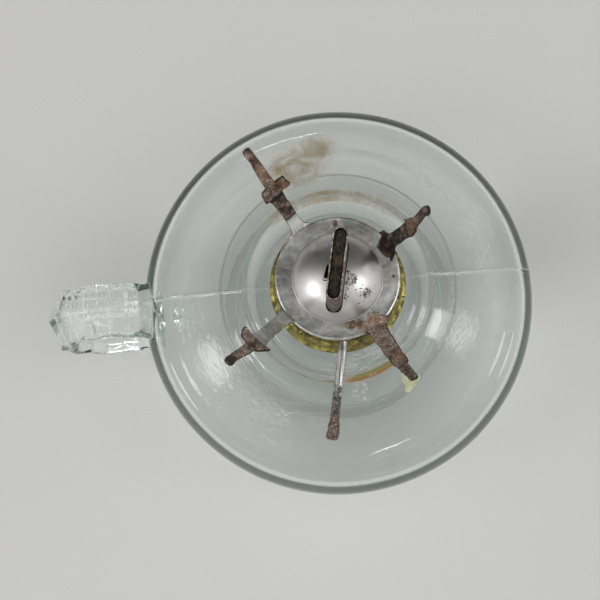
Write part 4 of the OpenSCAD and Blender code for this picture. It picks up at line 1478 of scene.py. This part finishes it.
def residue_surface():
    """A dry flake on the glass shoulder.

    Polar rows about its middle reach to an angular edge, which joins its corners with noise added.
    Each point stands on the glass at its own radius from the axis, raised by a low dome with
    noise, and the underside lies in the glass.
    """
    a = full_turn(96)
    ring = np.stack([np.cos(a), np.sin(a), 0 * a], -1)
    bearing = np.arctan2(FLAKE_EDGE[:, 1], FLAKE_EDGE[:, 0])
    edge = np.interp(a, bearing, np.hypot(*FLAKE_EDGE.T), period=2 * math.pi)
    edge = edge * (1 + 0.14 * layered(ring, 0.35, 81))
    share = np.concatenate([np.linspace(0.04, 1, 14), np.linspace(1, 0.04, 6)])
    top = np.arange(20) < 14
    x = FLAKE_AT[0] + share[:, None] * edge * np.cos(a)
    y = FLAKE_AT[1] + share[:, None] * edge * np.sin(a)
    outside = font_outside()
    shoulder = outside[(outside[:, 1] > BELLY[1]) & (outside[:, 0] > NECK_RING_R)]
    glass = np.interp(-np.hypot(x, y), -shoulder[:, 0], shoulder[:, 1])
    bump = 0.22 * np.sqrt(held(1.02 - share**2))[:, None]
    bump = bump * (1 + 0.6 * layered(np.stack([x, y, 0 * x], -1), 0.8, 82))
    z = glass + np.where(top[:, None], bump, -0.12)
    return mesh_from_grid("residue_flake", np.stack([x, y, z], -1) * MM)


class LAMP_OT_residue(bpy.types.Operator):
    """Makes the dry flake on the glass shoulder"""

    bl_idname = "lamp.residue"
    bl_label = "Residue"

    def execute(self, context):
        dress(residue_surface(), finish("verdigris"), "lamp", (), 60)
        return {"FINISHED"}


# ---------------------------------------------------------------- stage

FLOOR_HALF = 2.5

# Camera: place in metres, turns about X, Y and Z in degrees, and sensor in millimetres
CAMERA_AT = (-0.00341, -0.08885, 0.55889)
CAMERA_TURN = (9.496, 1.327, -3.789)
SENSOR = 36

# Distance of the lamps, and the height on the axis that they face, in metres
LAMP_AWAY = 0.9
LAMP_AIM = 0.05

# Rays that have turned more often than this see the backdrop
SKY_TURNS = 2.5

# Lamps: elevation and azimuth in degrees, width and height in metres, share of the lamp power
LAMPS = (
    ("lamp_left", 37, 196, (0.26, 0.22), 0.95),
    ("lamp_left_low", 42, 226, (0.5, 0.06), 0.2),
    ("lamp_right", 44, -12, (0.22, 0.22), 0.55),
    ("strip_back", 11, 104, (0.46, 0.007), 0.07),
    ("strip_right", 27, 24, (0.34, 0.018), 0.11),
    ("strip_front", 31, -72, (0.26, 0.011), 0.07),
)


def soft_lamp(name, elevation, azimuth, size, power):
    """An oval area light that faces the burner. size is its width and height."""
    a, e = math.radians(azimuth), math.radians(elevation)
    light = bpy.data.lights.new(name, "AREA")
    light.shape = "ELLIPSE"
    light.size, light.size_y = size
    light.energy = power
    obj = placed(name, light)
    direction = np.array([math.cos(a) * math.cos(e), math.sin(a) * math.cos(e), math.sin(e)])
    obj.location = direction * LAMP_AWAY + (0, 0, LAMP_AIM)
    obj.rotation_euler = (math.pi / 2 - e, 0, a + math.pi / 2)


def sky(settings):
    """A studio's soft surroundings: brightest at the sides, dim behind and dimmer in front and above.

    The strength is a share for the direction sideways, times shares that fall towards the back,
    the front, the top and the horizon. Camera rays, rays that leave glass and rays that have
    turned often see an even pale backdrop.
    """
    f = Finish("sky", "worlds", "Generated")
    x, y, z = f.parts()
    strength = abs(x).laid(0.0, 0.8, 0.62, 1.05, "LINEAR") * settings.sky
    for part, *range_and_shares in ((y, -0.05, 0.55, 1.0, 0.13), (y, -0.75, -0.2, 0.6, 1.0),
                                    (z, 0.8, 1.0, 1.0, 0.54), (z, -0.05, 0.5, 0.7, 1.0)):
        strength = strength * part.laid(*range_and_shares)
    light, paper = (f.node("ShaderNodeBackground", {"Color": (*colour, 1), "Strength": power}).outputs[0]
                    for colour, power in (((1, 1, 1), strength), (settings.backdrop, 1.0)))
    pale = f.ray("Is Camera Ray") | f.ray("Is Transmission Ray") | f.ray("Ray Depth").above(SKY_TURNS)
    return f.output(f.blend(pale, light, paper))


class LAMP_OT_stage(bpy.types.Operator):
    """Makes the floor, the soft lamps, the sky and the camera"""

    bl_idname = "lamp.stage"
    bl_label = "Stage"

    def execute(self, context):
        scene = context.scene
        settings = scene.lamp_stage
        mesh = bpy.data.meshes.new("floor")
        corners = np.array([(-1, -1, 0), (1, -1, 0), (1, 1, 0), (-1, 1, 0)]) * FLOOR_HALF
        mesh.from_pydata(corners.tolist(), [], [(0, 1, 2, 3)])
        floor = placed("floor", mesh)
        f = Finish("pale_floor")
        shade = f.mix(f.speckle(9, 3), settings.floor, [c * 0.97 for c in settings.floor])
        mesh.materials.append(f.paint(Base_Color=shade, Roughness=0.7))

        scene.world = sky(settings)
        for name, elevation, azimuth, size, share in LAMPS:
            soft_lamp(name, elevation, azimuth, size, settings.lamp_power * share)

        camera = placed("camera", bpy.data.cameras.new("camera"))
        camera.data.lens = settings.focal
        camera.data.sensor_width = SENSOR
        camera.data.clip_start = 0.01
        camera.location = CAMERA_AT
        camera.rotation_euler = Euler([math.radians(a) for a in CAMERA_TURN])
        scene.camera = camera
        scene.view_settings.view_transform = "Standard"
        return {"FINISHED"}


class LAMP_PT_panel(bpy.types.Panel):
    """Lists the lamp's pieces"""

    bl_label = "Finger lamp"
    bl_space_type = "VIEW_3D"
    bl_region_type = "UI"
    bl_category = "Lamp"

    def draw(self, context):
        for operator in OPERATORS:
            self.layout.operator(operator.bl_idname)


OPERATORS = (LAMP_OT_stage, LAMP_OT_glass, LAMP_OT_collar, LAMP_OT_gallery, LAMP_OT_dome, LAMP_OT_tube,
             LAMP_OT_raiser, LAMP_OT_residue)
GROUPS = {"lamp_sizes": LampSizes, "lamp_colours": LampColours, "lamp_stage": StageSettings}


def register():
    """Adds the settings, the operators and the panel."""
    for cls in (*GROUPS.values(), *OPERATORS, LAMP_PT_panel):
        bpy.utils.register_class(cls)
    for name, group in GROUPS.items():
        setattr(bpy.types.Scene, name, PointerProperty(type=group))


def unregister():
    """Takes away what register adds."""
    for name in GROUPS:
        delattr(bpy.types.Scene, name)
    for cls in (LAMP_PT_panel, *reversed(OPERATORS), *GROUPS.values()):
        bpy.utils.unregister_class(cls)


def main():
    """Makes every piece."""
    register()
    for operator in OPERATORS:
        group, name = operator.bl_idname.split(".")
        getattr(getattr(bpy.ops, group), name)()
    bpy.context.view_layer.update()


if __name__ == "__main__":
    main()
